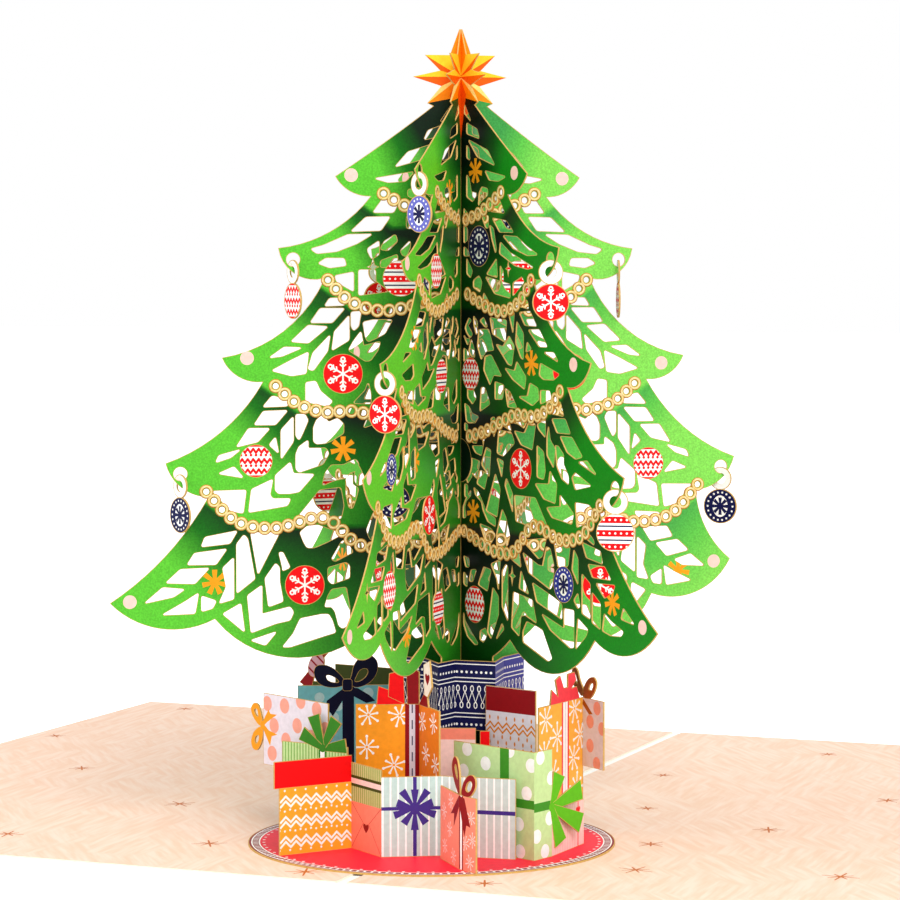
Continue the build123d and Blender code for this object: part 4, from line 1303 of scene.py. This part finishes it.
def flakes(sheet, places, radius, ink, within):
    """Printed snowflakes at noted places, each turned a little."""
    for index, (x, z) in enumerate(places):
        for step in range(8):
            direction = 45 * step + 11 + 17 * index
            length = radius if step % 2 else radius * 0.8
            arm = spoke(x, z, direction, radius * 0.12, length, radius * 0.1, radius * 0.16)
            sheet.add_print(arm, ink, within)
            sheet.add_print(circle(*away(x, z, direction, length), radius * 0.13, 8), ink, within)


def bow(sheet, loops, ink):
    """The loops of a bow, cut through at their eyes, which are drawn smaller than noted."""
    for outer, eye in loops:
        sheet.add_paper(rounded(outer, LOOP_ROUNDING), ink, bridge=True)
        middle = [sum(point[axis] for point in eye) / len(eye) for axis in (0, 1)]
        small = [tuple(middle[axis] + EYE_SHARE * (point[axis] - middle[axis]) for axis in (0, 1))
                 for point in eye]
        hole = rounded(small, EYE_ROUNDING)
        sheet.add_print(grown(hole, EYE_LINE), "cut edge")
        sheet.add_hole(hole)


def blades(sheet, x, z, fan, root, end, ink):
    """The flat blades of a pinwheel bow."""
    for direction, reach in fan:
        sheet.add_paper(spoke(x, z, direction, 0, reach, root, end), ink)
    sheet.add_print(circle(x, z, root * 0.7, 12), ink)


def heart(sheet, x, z, size, ink, within=None):
    """A small heart."""
    points = []
    for step in range(20):
        t = 2 * pi * step / 20
        rise = size * (13 * cos(t) - 5 * cos(2 * t) - 2 * cos(3 * t)) / 16
        points.append((x + size * sin(t) ** 3, z + rise))
    sheet.add_print(points, ink, within)


@gift("gift_red_box_envelope_blue_box",
      ((-18.3, -73.2), (-9.9, -61.9), (-1.7, -67.9), (7.1, -62.9), (20.0, -61.5)))
def front_strip(panels):
    """Red lidded box with white zigzags, envelope under a striped flap, and the pale blue box."""
    widths = [panel.width for panel in panels]
    box, body = plain_panel(panels[0], 0, 11.6, "box orange")
    pitch = widths[0] / 7
    for base in (1.3, 4.7, 8.2):
        for step in range(2):
            zigzag(box, 0.2, widths[0] - 0.1, base + 0.85 * step, 0.95, pitch, 0.36, "white", body)
        for step in range(7):
            box.add_print(circle(pitch * (step + 0.5), base + 2.75, 0.2, 8), "white", body)
            box.add_print(circle(pitch * step, base - 0.5, 0.2, 8), "white", body)
    box.add_paper([(-1.0, 11.4), (widths[0], 11.4), (widths[0], 16.0), (-1.0, 16.0)], "red")
    box.add_print(rectangle(widths[0] - 0.1, 11.5, widths[0] + 1, 15.9), "red")
    letter, face = striped_panel(panels[1], 0, 14.8, "stripe green", "stripe tan", 0.7, 0.3)
    bands(letter, widths[1], ((10.8, 12.7, "olive"), (11.3, 12.2, "rose"), (0, 8.2, "salmon")), face)
    middle = widths[1] / 2
    for first, second in (((0, 8.2), (middle, 4.2)), ((widths[1], 8.2), (middle, 4.2)),
                          ((0, 0), (middle - 0.9, 4.9)), ((widths[1], 0), (middle + 0.9, 4.9))):
        letter.add_print(bar(first, second, 0.18), "deep salmon", face)
    heart(letter, middle, 4.2, 0.95, "dark red", face)
    top = 13.6
    left, inner = striped_panel(panels[2], 0, top, "pale blue", "white", 1.3, 0.22)
    right, other = striped_panel(panels[3], 0, top, "pale grey", "white", 1.3, 0.22)
    centre = widths[2] * 0.55
    left.add_print(rectangle(centre - 0.32, 0, centre + 0.32, top), "purple", inner)
    bands(left, widths[2], ((7.9, 8.5, "purple"),), inner)
    bands(right, widths[3], ((7.4, 8.1, "purple"),), other)
    for step in range(10):
        reach = 3.7 if step % 2 else 3.2
        left.add_print(spoke(centre, 8.2, 18 + 36 * step, 0.2, reach, 0.35, 1.35), "purple", inner)
    left.add_print(circle(centre, 8.2, 0.7, 12), "purple", inner)
    return [box, letter, left, right]


@gift("gift_salmon_red_bow", ((8.0, -65.2), (14.4, -72.8), (18.5, -75.7)))
def salmon_gift(panels):
    """Salmon gift folded at its ribbon, with a dark red bow."""
    top = 12.4
    first, inner = plain_panel(panels[0], 0, top, "salmon")
    second, other = plain_panel(panels[1], 0, top, "salmon")
    flakes(first, ((2.4, 2.6), (5.0, 5.8), (2.0, 8.4), (7.0, 1.6), (5.6, 10.6)), 1.3, "rose", inner)
    flakes(second, ((3.6, 9.0), (1.8, 4.6), (4.0, 5.4), (3.2, 1.6)), 1.2, "rose", other)
    second.add_print(rectangle(-1, 0, 1.2, top), "dark red", other)
    second.add_print(rectangle(0.3, 0, 0.85, top), "white", other)
    bow(first, SALMON_LEFT_LOOP, "dark red")
    bow(second, SALMON_RIGHT_LOOP, "dark red")
    width = panels[0].width
    left_tail = [(width, 12.3), (width - 4.4, 8.6), (width - 2.6, 8.9), (width - 2.8, 6.6), (width, 10.4)]
    right_tail = [(0, 12.3), (0, 10.8), (1.6, 5.6), (2.2, 7.6), (3.4, 7.4), (1.6, 12.0)]
    first.add_print(left_tail, "dark red", inner)
    second.add_print(right_tail, "dark red", other)
    return [first, second]


@gift("gift_green_dotted_pink", ((5.9, -54.1), (23.2, -61.4), (24.5, -56.6), (25.5, -43.4)))
def dotted_gift(panels):
    """Green dotted box with a broad ribbon, half a pinwheel bow and a low pink face."""
    top = 18.3
    first, inner = plain_panel(panels[0], 0, top, "mint")
    dots(first, ((3.2, 17.2), (7.6, 15.2), (18.2, 16.0), (17.2, 11.2), (2.4, 13.4), (13.2, 18.0), (15.4, 5.8),
                 (15.7, 1.2), (9.0, 11.0), (5.0, 9.0)), 1.2, "white", inner)
    first.add_print(rectangle(11.0, 0, 13.1, top), "leaf", inner)
    bands(first, panels[0].width, ((8.6, 10.1, "leaf"),), inner)
    second, other = plain_panel(panels[1], 0, top, "mint")
    dots(second, ((4.7, 13.4), (0.7, 4.0), (4.3, 6.6), (1.6, 17.2), (3.0, 1.2)), 1.2, "white", other)
    bands(second, panels[1].width, ((8.1, 9.6, "leaf"),), other)
    fan = ((68, 5.8), (12, 9.0), (-24, 9.6), (-68, 7.0))
    blades(second, panels[1].width, 8.4, fan, 1.2, 3.5, "bright leaf")
    low_top = 7.8
    third, pink = striped_panel(panels[2], 0, low_top, "rose", "rose stripe", 0.7, 0.3)
    third.add_print(rectangle(10.6, 0, 11.0, low_top), "coral", pink)
    heart(third, 10.8, 6.2, 0.9, "red", pink)
    return [first, second, third]


@gift("gift_lilac_orange_bow", ((-32.3, -49.5), (-16.0, -57.9)))
def lilac_gift(panels):
    """Lilac dotted gift with an orange bow past its edge."""
    sheet, inner = plain_panel(panels[0], 11.3, 24.0, "lilac")
    dots(sheet, ((1.1, 22.2), (6.1, 22.3), (10.7, 23.6), (15.2, 22.6), (3.1, 18.5), (9.7, 19.2), (6.5, 16.3),
                 (2.5, 13.5), (13.6, 17.6), (17.6, 19.4), (10.4, 13.0)), 1.35, "lilac dot", inner)
    sheet.add_paper(rectangle(8.0, 0, 17.0, 11.6), "lilac")
    bow(sheet, ORANGE_BOW, "orange")
    sheet.add_paper(rounded(rectangle(-0.9, 17.4, 0.3, 19.0), 0.3), "orange", bridge=True)
    sheet.add_print([(-0.2, 18.9), (1.5, 21.2), (2.0, 20.5), (3.9, 20.5), (1.1, 18.9), (0.2, 18.2)], "orange")
    sheet.add_print([(-0.2, 17.7), (0.2, 18.4), (1.5, 17.5), (4.0, 17.0), (2.4, 16.5), (1.9, 14.7)], "orange")
    return [sheet]


@gift("gift_green_striped", ((-25.2, -57.0), (-11.6, -59.6)))
def striped_gift(panels):
    """Green striped gift with a dark green pinwheel bow."""
    top = 16.9
    sheet, inner = striped_panel(panels[0], 0, top, "mint", "leaf stripe", 0.62, 0.4)
    centre = 0.62 * panels[0].width
    sheet.add_print(rectangle(centre - 0.8, 0, centre + 0.8, top), "dark leaf", inner)
    sheet.add_print(rectangle(centre - 0.45, 0, centre + 0.45, top), "white", inner)
    blades(sheet, centre, 16.3, ((9, 5.0), (61, 5.9), (109, 5.9), (153, 5.0)), 1.0, 2.6, "dark leaf")
    return [sheet]


@gift("gift_aqua_navy_bow", ((-29.3, -41.8), (-14.6, -34.4)))
def aqua_gift(panels):
    """Aqua gift with white drifts and a large navy bow."""
    top = 24.5
    sheet, inner = plain_panel(panels[0], 0, top, "aqua")
    drifts = ((3.9, 22.3, 0.9), (7.2, 20.7, 0.9), (6.3, 18.6, 1.1), (12.6, 23.0, 1.0), (2.4, 17.0, 1.6),
              (12.2, 15.0, 1.7))
    for x, z, size in drifts:
        sheet.add_print(circle(x, z, size, 20), "aqua light", inner)
    left_tail = [(8.6, 24.2), (5.2, 21.7), (5.0, 20.6), (6.3, 18.9), (8.6, 22.6)]
    right_tail = [(9.0, 24.2), (10.8, 23.9), (12.9, 22.6), (13.9, 21.6), (12.3, 21.2), (9.4, 22.8)]
    for points in (rectangle(8.0, 0, 10.1, top), left_tail, right_tail):
        sheet.add_print(points, "midnight", inner)
    bow(sheet, NAVY_BOW, "midnight")
    sheet.add_paper(rounded(rectangle(8.0, 23.4, 9.8, 25.6), 0.5), "midnight", bridge=True)
    return [sheet]


@gift("gift_olive_sweet", ((-29.1, -25.6), (-12.4, -28.2)))
def olive_gift(panels):
    """Dark olive gift with a wrapped sweet on its low tab."""
    sheet = plain_panel(panels[0], 0, 26.5, "olive")[0]
    sheet.add_paper(rectangle(-7.2, 0, 0.2, 23.0), "olive")
    sheet.add_print(spoke(0, 11.4, 0, -0.4, 0.6, 22.6), "olive")
    blades(sheet, -4.6, 25.6, ((-118, 4.2),), 0.8, 3.0, "dark red")
    blades(sheet, -4.0, 26.4, ((62, 3.4),), 0.8, 2.6, "dark red")
    sweet = sheet.add_paper(ellipse(-4.2, 26.0, 2.4, 1.6, 62, 24), "lilac sweet", bridge=True)
    for step in (-1, 0, 1):
        sheet.add_print(spoke(-4.2 + step * 0.7, 26.0 + step * 1.3, 140, -2, 2, 0.35), "dark red", sweet)
    return [sheet]


@gift("gift_orange_snowflake_tag", ((-11.2, -57.2), (-3.7, -53.1), (-1.4, -52.2), (5.6, -60.0)))
def snow_gift(panels):
    """Orange snowflake gift folded in at its ribbon, with a red bow and a tag."""
    top = 24.1
    first, inner = plain_panel(panels[0], 0, top, "snow orange")
    flakes(first, ((2.2, 22.2), (7.6, 22.0), (1.9, 16.6), (6.6, 13.4), (2.0, 10.0), (6.9, 6.8)), 1.9, "white",
           inner)
    first.add_paper([(3.6, top - 0.2), (3.9, top + 3.1), (8.2, top + 1.4), (8.5, top - 0.2)], "red")
    first.add_paper([(5.6, top + 1.2), (5.8, top + 5.2), (8.3, top + 5.8), (8.5, top - 0.2)], "red")
    second, ribbon = plain_panel(panels[1], 0, top, "dark red")
    second.add_print(rectangle(0.75, 0, 1.75, top), "grey lilac", ribbon)
    for step in range(9):
        second.add_print(rectangle(1.15, 2.8 * step, 1.35, 2.8 * step + 1.6), "navy", ribbon)
    width = panels[1].width
    second.add_paper([(0.4, top - 0.2), (0.2, top + 7.2), (width, top + 5.4), (width, top - 0.2)], "dark red")
    # The third panel carries the darker copy of the orange: painted shade on the face turned from the key
    # light
    third, other = plain_panel(panels[2], 0, top, "snow orange dark")
    third.add_print(rectangle(-1, 0, 0.4, top), "dark red", other)
    flakes(third, ((2.0, 21.2), (7.6, 21.6), (3.8, 15.8), (8.6, 14.6), (2.8, 10.2), (8.0, 8.6)), 1.8, "white",
           other)
    third.add_paper([(0.2, top - 0.2), (4.0, top + 3.0), (5.0, top - 0.2)], "dark red")
    tag = third.add_paper([(3.0, top + 1.8), (2.6, top + 7.0), (5.6, top + 8.0), (6.8, top + 3.6),
                           (4.6, top + 1.6)], "cream")
    heart(third, 4.6, top + 4.8, 1.2, "dark red", tag)
    return [first, second, third]


@gift("gift_salmon_box", ((1.3, -49.6), (7.2, -47.4)))
def salmon_box(panels):
    """Salmon box beside the trunk, its lid a shade deeper."""
    sheet, inner = plain_panel(panels[0], 0, 19.6, "rose")
    bands(sheet, panels[0].width, ((17.6, 19.6, "salmon"),), inner)
    return [sheet]


@gift("gift_small_red_box", ((7.9, -47.2), (9.5, -46.6)))
def small_red_box(panels):
    """Small red box."""
    return [plain_panel(panels[0], 0, 19.1, "red")[0]]


@gift("gift_dark_red_lid", ((8.4, -45.5), (19.0, -49.2)))
def lidded_gift(panels):
    """Lilac grey box with orange zigzags and a dark red lid."""
    sheet, inner = plain_panel(panels[0], 0, 26.9, "grey lilac")
    width = panels[0].width
    pitch = width / 6
    for base in (18.9, 14.6, 10.3):
        for step in range(2):
            zigzag(sheet, 0.1, width, base + 0.9 * step, 0.9, pitch, 0.3, "brown orange", inner)
        for step in range(6):
            sheet.add_print(ellipse(pitch * (step + 0.5), base + 2.6, 0.2, 0.42, 0, 6), "brown orange", inner)
            sheet.add_print(ellipse(pitch * step, base - 0.7, 0.2, 0.42, 0, 6), "brown orange", inner)
    bands(sheet, width, ((22.6, 26.8, "dark red"),), inner)
    return [sheet]


@gift("gift_orange_lilac_right", ((19.4, -49.2), (21.9, -33.6), (27.4, -38.0)))
def right_gift(panels):
    """Orange snowflake gift with a coral crown bow, and the lilac dotted face folded from it."""
    top, middle = 24.0, 9.3
    first, inner = plain_panel(panels[0], 0, top, "snow yellow")
    places = ((2.4, 21.6), (12.6, 22.4), (6.4, 18.2), (14.6, 17.6), (12.2, 13.8), (2.0, 15.8), (5.0, 11.8),
              (13.4, 8.6))
    flakes(first, places, 2.4, "white", inner)
    for half, ink in ((1.3, "coral"), (0.8, "white"), (0.15, "lilac")):
        first.add_print(rectangle(middle - half, 0, middle + half, top), ink, inner)
    first.add_paper(CROWN_BOW, "coral")
    second, other = plain_panel(panels[1], 12.0, top, "lilac")
    dots(second, ((5.0, 22.6), (2.7, 20.0), (6.6, 19.2), (2.7, 15.8), (4.9, 12.9)), 1.2, "lilac dot", other)
    second.add_print([(0.4, 23.8), (3.6, 21.4), (2.3, 21.2), (0.2, 22.8)], "brown", other)
    bow(second, BROWN_BOW, "brown")
    return [first, second]


def collar_sheets():
    """The navy strip round the trunk: rows of dots, lines and chains of loops."""
    low, high = 18.6, 30.8
    front_reach, peak_reach, dip_reach = 12.6, 11.6, 8.0
    order = ("front_left", "front_right", "rear_right", "back", "back_left", "left")
    turns = [WINGS[name]["angle"] for name in order] + [WINGS[order[0]]["angle"] + 360]
    dips = [(dip_reach, (turn + following) / 2) for turn, following in zip(turns, turns[1:])]
    # The dip at the front stands clear of the two front wings
    dips[0] = (7.6, -76.0)
    corners = []
    for turn, reach_out, dip in zip(turns, [front_reach] + [peak_reach] * 5, dips):
        for reach, angle in ((reach_out, turn), dip):
            corners.append(away(0, TRUNK_Y, angle, reach))
    corners.append(corners[0])
    dot_pitch, loop_pitch = 0.9, 1.3
    pieces = []
    for index, panel in enumerate(strip_panels(corners, RUG_HIGH, closed=True)):
        ink = "periwinkle" if index in (2, 3) else "navy"
        sheet, inner = plain_panel(panel, low, high, ink)
        for height in (19.6, 28.8):
            for step in range(int(panel.width / dot_pitch) + 1):
                sheet.add_print(circle(0.45 + dot_pitch * step, height, 0.24, 8), "white", inner)
        lines = [(height, height + 0.17, "white") for height in (20.8, 21.5, 27.0, 27.7, 30.1)]
        bands(sheet, panel.width, lines, inner)
        for step in range(-1, int(panel.width / loop_pitch) + 1):
            x = 0.65 + loop_pitch * step
            for across, z in ((0, 25.9), (0.65, 23.0)):
                outer = sheet.add_print(ellipse(x + across, z, 0.36, 0.6, 0, 14), "white", inner)
                sheet.add_print(ellipse(x + across, z, 0.2, 0.42, 0, 12), ink, outer)
            for lean in (0.65, -0.65):
                sheet.add_print(bar((x, 25.4), (x + lean, 23.5), 0.12), "white", inner)
        pieces.append((sheet, panel.place))
    return pieces


# Card and rug

# The liners' brown stars: place on the card and size
LINER_STARS = (
    (-114, 81, 1.8), (-121, 34, 1.7), (-95, -2, 2.0), (-58, -32, 2.4), (-35, -66, 2.4), (-72, -71, 2.3),
    (-9, -83, 2.6), (38, 71, 1.7), (15, 33, 1.5), (63, 21, 2.1), (24, -4, 1.6), (51, -17, 2.2),
    (36, -38, 2.2), (41, -61, 2.5), (74, -54, 2.5), (22, -81, 2.2), (-60, 55, 1.8), (-30, 40, 1.8),
    (96, 60, 2.0), (104, -20, 2.1), (110, 20, 2.0), (106, -72, 2.3),
)


def liner_sheet(box):
    """One liner with its scattered small brown stars."""
    (low_x, low_y), (high_x, high_y) = ((corner[0] / MM, corner[1] / MM) for corner in box)
    sheet = Sheet(0.05, "cream")
    inner = sheet.add_print(rectangle(low_x, low_y, high_x, high_y), "liner")
    sheet.paper.add(inner)
    for x, y, size in LINER_STARS:
        if low_x < x < high_x:
            for step in range(8):
                length = size * (1.3 if step % 2 else 0.95)
                sheet.add_print(spoke(x, y, 45 * step + 3 * x, 0, length, 0.46, 0.26), "rust", inner)
    return sheet


def rug_sheet(radius, centre_y):
    """The rug: a red round with a white border of fine stitches and a dark red rim."""
    sheet = Sheet(0.15)
    sheet.add_paper(circle(0, centre_y, radius, 96), "dark red")
    for depth, ink in ((0.5, "white"), (0.75, "dark red"), (1.8, "white"), (2.05, "rug red")):
        sheet.add_print(circle(0, centre_y, radius - depth, 96), ink)
    for step in range(150):
        sheet.add_print(spoke(0, centre_y, 2.4 * step, radius - 1.7, radius - 0.85, 0.42), "white")
    for step in range(75):
        sheet.add_print(circle(*away(0, centre_y, 4.8 * step, radius - 2.7), 0.28, 8), "white")
    return sheet


# The stage: lamps with their place, size in metres and power in watts, and the camera in millimetres
LAMPS = (("key", (0.55, -0.65, 0.75), 0.5, 8.0), ("fill", (-0.8, -0.5, 0.5), 0.8, 3.0))
LAMP_AIM = (0, -0.03, 0.06)
SOFT_LIGHT = 0.78
FLOOR_HALF = 4.0
CAMERA_PLACE = (205.8, -550.9, 99.8 + CARD_TOP)
CAMERA_HEADING = (-0.3746, 0.9272)
CAMERA_DOWN = 3.35


# The add-on

class CardSizes(bpy.types.PropertyGroup):
    """Sizes that a user may change."""
    edge_line: bpy.props.FloatProperty(
        name="Edge line", description="Width of the browned line beside each cut", default=0.095 * MM,
        unit="LENGTH")
    link_radius: bpy.props.FloatProperty(
        name="Link radius", description="Outer radius of a garland link", default=1.25 * MM, unit="LENGTH")
    link_hole: bpy.props.FloatProperty(
        name="Link hole", description="Radius of the hole in a link", default=0.6 * MM, unit="LENGTH")
    link_pitch: bpy.props.FloatProperty(
        name="Link pitch", description="Distance between links", default=2.1 * MM, unit="LENGTH")
    lens: bpy.props.FloatProperty(
        name="Lens", description="Focal length of the camera in millimetres", default=125.9)


class CardColours(bpy.types.PropertyGroup):
    """Colours that a user may change."""
    # Pale gold at the light end of the links' mottle: a painted highlight of the foil
    link_gold_highlight: bpy.props.FloatVectorProperty(
        name="Garland", description="Gold of the garland links", subtype="COLOR", size=4, min=0, max=1,
        default=linear("#fce6b0"))
    floor: bpy.props.FloatVectorProperty(
        name="Floor", description="Floor and backdrop", subtype="COLOR", size=4, min=0, max=1,
        default=linear("#f4f4f4"))


class CARD_OT_board(bpy.types.Operator):
    """Give the folded board its white card and lay the printed liners on it"""
    bl_idname = "card.board"
    bl_label = "Board and liners"

    def execute(self, context):
        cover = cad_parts["card_cover"]
        cover.data.materials.clear()
        cover.data.materials.append(printed_paper("white board", INKS["white"], 0.6, 0.02))
        for name in ("liner_left", "liner_right"):
            sheet = liner_sheet(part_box(name))
            sheets = [(sheet, flat((LINER_LOW + LINER_HIGH) / 2))]
            piece = build("printed_" + name, sheets, LINER_HIGH - LINER_LOW)
            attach(piece, BODY)
            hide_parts(name)
        return {"FINISHED"}


class CARD_OT_rug(bpy.types.Operator):
    """Lay the round rug under the tree"""
    bl_idname = "card.rug"
    bl_label = "Rug"

    def execute(self, context):
        low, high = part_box("rug")
        radius = (high[0] - low[0]) / 2 / MM
        sheet = rug_sheet(radius, (high[1] + low[1]) / 2 / MM)
        piece = build("printed_rug", [(sheet, flat((RUG_LOW + RUG_HIGH) / 2))])
        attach(piece, BODY)
        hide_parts("rug")
        return {"FINISHED"}


class CARD_OT_tree(bpy.types.Operator):
    """Make the three crossed sheets of the tree from their cut and printed wings"""
    bl_idname = "card.tree"
    bl_label = "Tree sheets"

    def execute(self, context):
        sizes = context.scene.card_sizes
        for name, wings in SHEETS.items():
            sheets = []
            for wing in wings:
                place = upright((0, TRUNK_Y, CARD_TOP), WINGS[wing]["angle"])
                sheets.append((wing_sheet(wing, sizes), place))
            piece = build("cut_" + name, sheets, WING_PAPER)
            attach(piece, BODY)
            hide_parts(name)
        return {"FINISHED"}


class CARD_OT_garlands(bpy.types.Operator):
    """Set the links of the four garlands on each wing"""
    bl_idname = "card.garlands"
    bl_label = "Garlands"

    def execute(self, context):
        sizes = context.scene.card_sizes
        colours = context.scene.card_colours
        gold = gold_foil("gold garland print", "#f8cf74", 0.4)
        # The light end of the gold's mottle takes the pale painted highlight
        ramp = [item for item in gold.node_tree.nodes if item.type == "VALTORGB"][0]
        ramp.color_ramp.elements[1].color = colours.link_gold_highlight
        tree = link_tree(ink_material("link edge"), gold)
        spots, turns = [], []
        for wing in WINGS.values():
            turn = radians(wing["angle"])
            for line in GARLANDS:
                for reach, height in along(line, sizes.link_pitch / MM):
                    spots.append((reach * cos(turn) * MM, (TRUNK_Y + reach * sin(turn)) * MM,
                                  (CARD_TOP + height) * MM))
                    turns.append(turn)
        mesh = bpy.data.meshes.new("garlands")
        mesh.from_pydata(spots, [], [])
        mesh.attributes.new("turn", "FLOAT", "POINT").data.foreach_set("value", turns)
        piece = bpy.data.objects.new("garlands", mesh)
        context.scene.collection.objects.link(piece)
        apply_tree(piece, tree, {"Outer radius": sizes.link_radius, "Hole radius": sizes.link_hole,
                                 "Thickness": PAPER * MM * 1.2, "Line": 0.14 * MM})
        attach(piece, BODY)
        return {"FINISHED"}


class CARD_OT_ornaments(bpy.types.Operator):
    """Hang the printed ornaments from their rings"""
    bl_idname = "card.ornaments"
    bl_label = "Ornaments"

    def execute(self, context):
        for name, (wing_name, tier, plane, kind) in ORNAMENTS.items():
            wing = WINGS[wing_name]
            reach, height = hole_place(wing, tier)
            turn = radians(wing["angle"])
            origin = (reach * cos(turn), TRUNK_Y + reach * sin(turn), CARD_TOP + height - HOLE_RADIUS)
            sheet = Sheet(0.14)
            ring = HANGING_GAP - ORNAMENT_RING_HOLE
            centre = ring - RING_TO_BALL
            sheet.add_paper(rectangle(-ORNAMENT_NECK / 2, centre, ORNAMENT_NECK / 2, ring), "white")
            sheet.add_paper(circle(0, ring, ORNAMENT_RING, 36), "white")
            ball(sheet, kind, 0, centre, ORNAMENT_BALL)
            sheet.add_hole(circle(0, ring, ORNAMENT_RING_HOLE, 28))
            node_name = "ornament_" + name
            piece = build("printed_" + node_name, [(sheet, upright(origin, plane))])
            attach(piece, node_name)
            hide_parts(node_name)
        return {"FINISHED"}


class CARD_OT_gifts(bpy.types.Operator):
    """Stand the printed gifts and the navy collar round the trunk"""
    bl_idname = "card.gifts"
    bl_label = "Gifts and collar"

    def execute(self, context):
        for name, (corners, draw) in GIFTS.items():
            panels = strip_panels(corners, RUG_HIGH)
            sheets = [(sheet, panel.place) for sheet, panel in zip(draw(panels), panels)]
            piece = build("printed_" + name, sheets)
            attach(piece, BODY)
            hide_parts(name)
        piece = build("printed_collar", collar_sheets())
        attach(piece, BODY)
        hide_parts("collar_navy")
        return {"FINISHED"}


class CARD_OT_stage(bpy.types.Operator):
    """Set the floor, the studio light and the camera"""
    bl_idname = "card.stage"
    bl_label = "Stage, light and camera"

    def execute(self, context):
        scene = context.scene
        scene.view_settings.view_transform = "Standard"
        mesh = bpy.data.meshes.new("floor")
        corners = [(-FLOOR_HALF, -FLOOR_HALF, 0), (FLOOR_HALF, -FLOOR_HALF, 0), (FLOOR_HALF, FLOOR_HALF, 0),
                   (-FLOOR_HALF, FLOOR_HALF, 0)]
        mesh.from_pydata(corners, [], [(0, 1, 2, 3)])
        floor_piece = bpy.data.objects.new("floor", mesh)
        scene.collection.objects.link(floor_piece)
        mesh.materials.append(floor_material(scene.card_colours.floor))
        world = bpy.data.worlds.new("studio")
        scene.world = world
        world.use_nodes = True
        tree = world.node_tree
        soft = tree.nodes["Background"]
        soft.inputs["Color"].default_value = WHITE
        soft.inputs["Strength"].default_value = SOFT_LIGHT
        seen = node(tree, "ShaderNodeBackground", values={"Color": WHITE})
        rays = node(tree, "ShaderNodeLightPath")
        mix = node(tree, "ShaderNodeMixShader",
                   [(0, rays.outputs["Is Camera Ray"]), (1, soft.outputs["Background"]),
                    (2, seen.outputs["Background"])])
        tree.links.new(mix.outputs["Shader"], tree.nodes["World Output"].inputs["Surface"])
        for label, place, size, power in LAMPS:
            light = bpy.data.lights.new(label, "AREA")
            light.size = size
            light.energy = power
            aim_at(scene, bpy.data.objects.new(label, light), place, Vector(LAMP_AIM) - Vector(place))
        camera = bpy.data.cameras.new("camera")
        camera.lens = scene.card_sizes.lens
        camera.sensor_width = 36.0
        camera.clip_end = 20.0
        down = radians(CAMERA_DOWN)
        aim = Vector((CAMERA_HEADING[0] * cos(down), CAMERA_HEADING[1] * cos(down), -sin(down)))
        eye = bpy.data.objects.new("camera", camera)
        aim_at(scene, eye, Vector(CAMERA_PLACE) * MM, aim)
        scene.camera = eye
        return {"FINISHED"}


def aim_at(scene, thing, place, aim):
    """Put a lamp or the camera in its place, looking along a direction."""
    thing.location = place
    thing.rotation_euler = aim.to_track_quat("-Z", "Y").to_euler()
    scene.collection.objects.link(thing)


def floor_material(colour):
    """White sweep: seen by the camera as white, still taking the card's shadow."""
    material, tree, shader, _ = start_material("white studio paper", 0.9)
    shader.inputs["Base Color"].default_value = colour
    shader.inputs["Emission Color"].default_value = WHITE
    rays = node(tree, "ShaderNodeLightPath")
    glow = node(tree, "ShaderNodeMath", [(0, rays.outputs["Is Camera Ray"])], {1: 0.6}, operation="MULTIPLY")
    tree.links.new(glow.outputs[0], shader.inputs["Emission Strength"])
    return material


class CARD_PT_panel(bpy.types.Panel):
    """Lists the card's pieces"""
    bl_idname = "CARD_PT_panel"
    bl_label = "Pop up card"
    bl_space_type = "VIEW_3D"
    bl_region_type = "UI"
    bl_category = "Card"

    def draw(self, context):
        for operator in OPERATORS:
            self.layout.operator(operator.bl_idname)
        for name in ("edge_line", "link_radius", "link_hole", "link_pitch", "lens"):
            self.layout.prop(context.scene.card_sizes, name)
        for name in ("link_gold_highlight", "floor"):
            self.layout.prop(context.scene.card_colours, name)


OPERATORS = (CARD_OT_stage, CARD_OT_board, CARD_OT_rug, CARD_OT_tree, CARD_OT_garlands, CARD_OT_ornaments,
             CARD_OT_gifts)
CLASSES = (CardSizes, CardColours) + OPERATORS + (CARD_PT_panel,)


def register():
    for item in CLASSES:
        bpy.utils.register_class(item)
    bpy.types.Scene.card_sizes = bpy.props.PointerProperty(type=CardSizes)
    bpy.types.Scene.card_colours = bpy.props.PointerProperty(type=CardColours)


def unregister():
    del bpy.types.Scene.card_sizes
    del bpy.types.Scene.card_colours
    for item in reversed(CLASSES):
        bpy.utils.unregister_class(item)


def main():
    register()
    bpy.ops.card.stage()
    bpy.ops.card.board()
    bpy.ops.card.rug()
    bpy.ops.card.tree()
    bpy.ops.card.garlands()
    bpy.ops.card.ornaments()
    bpy.ops.card.gifts()


if __name__ == "__main__":
    main()
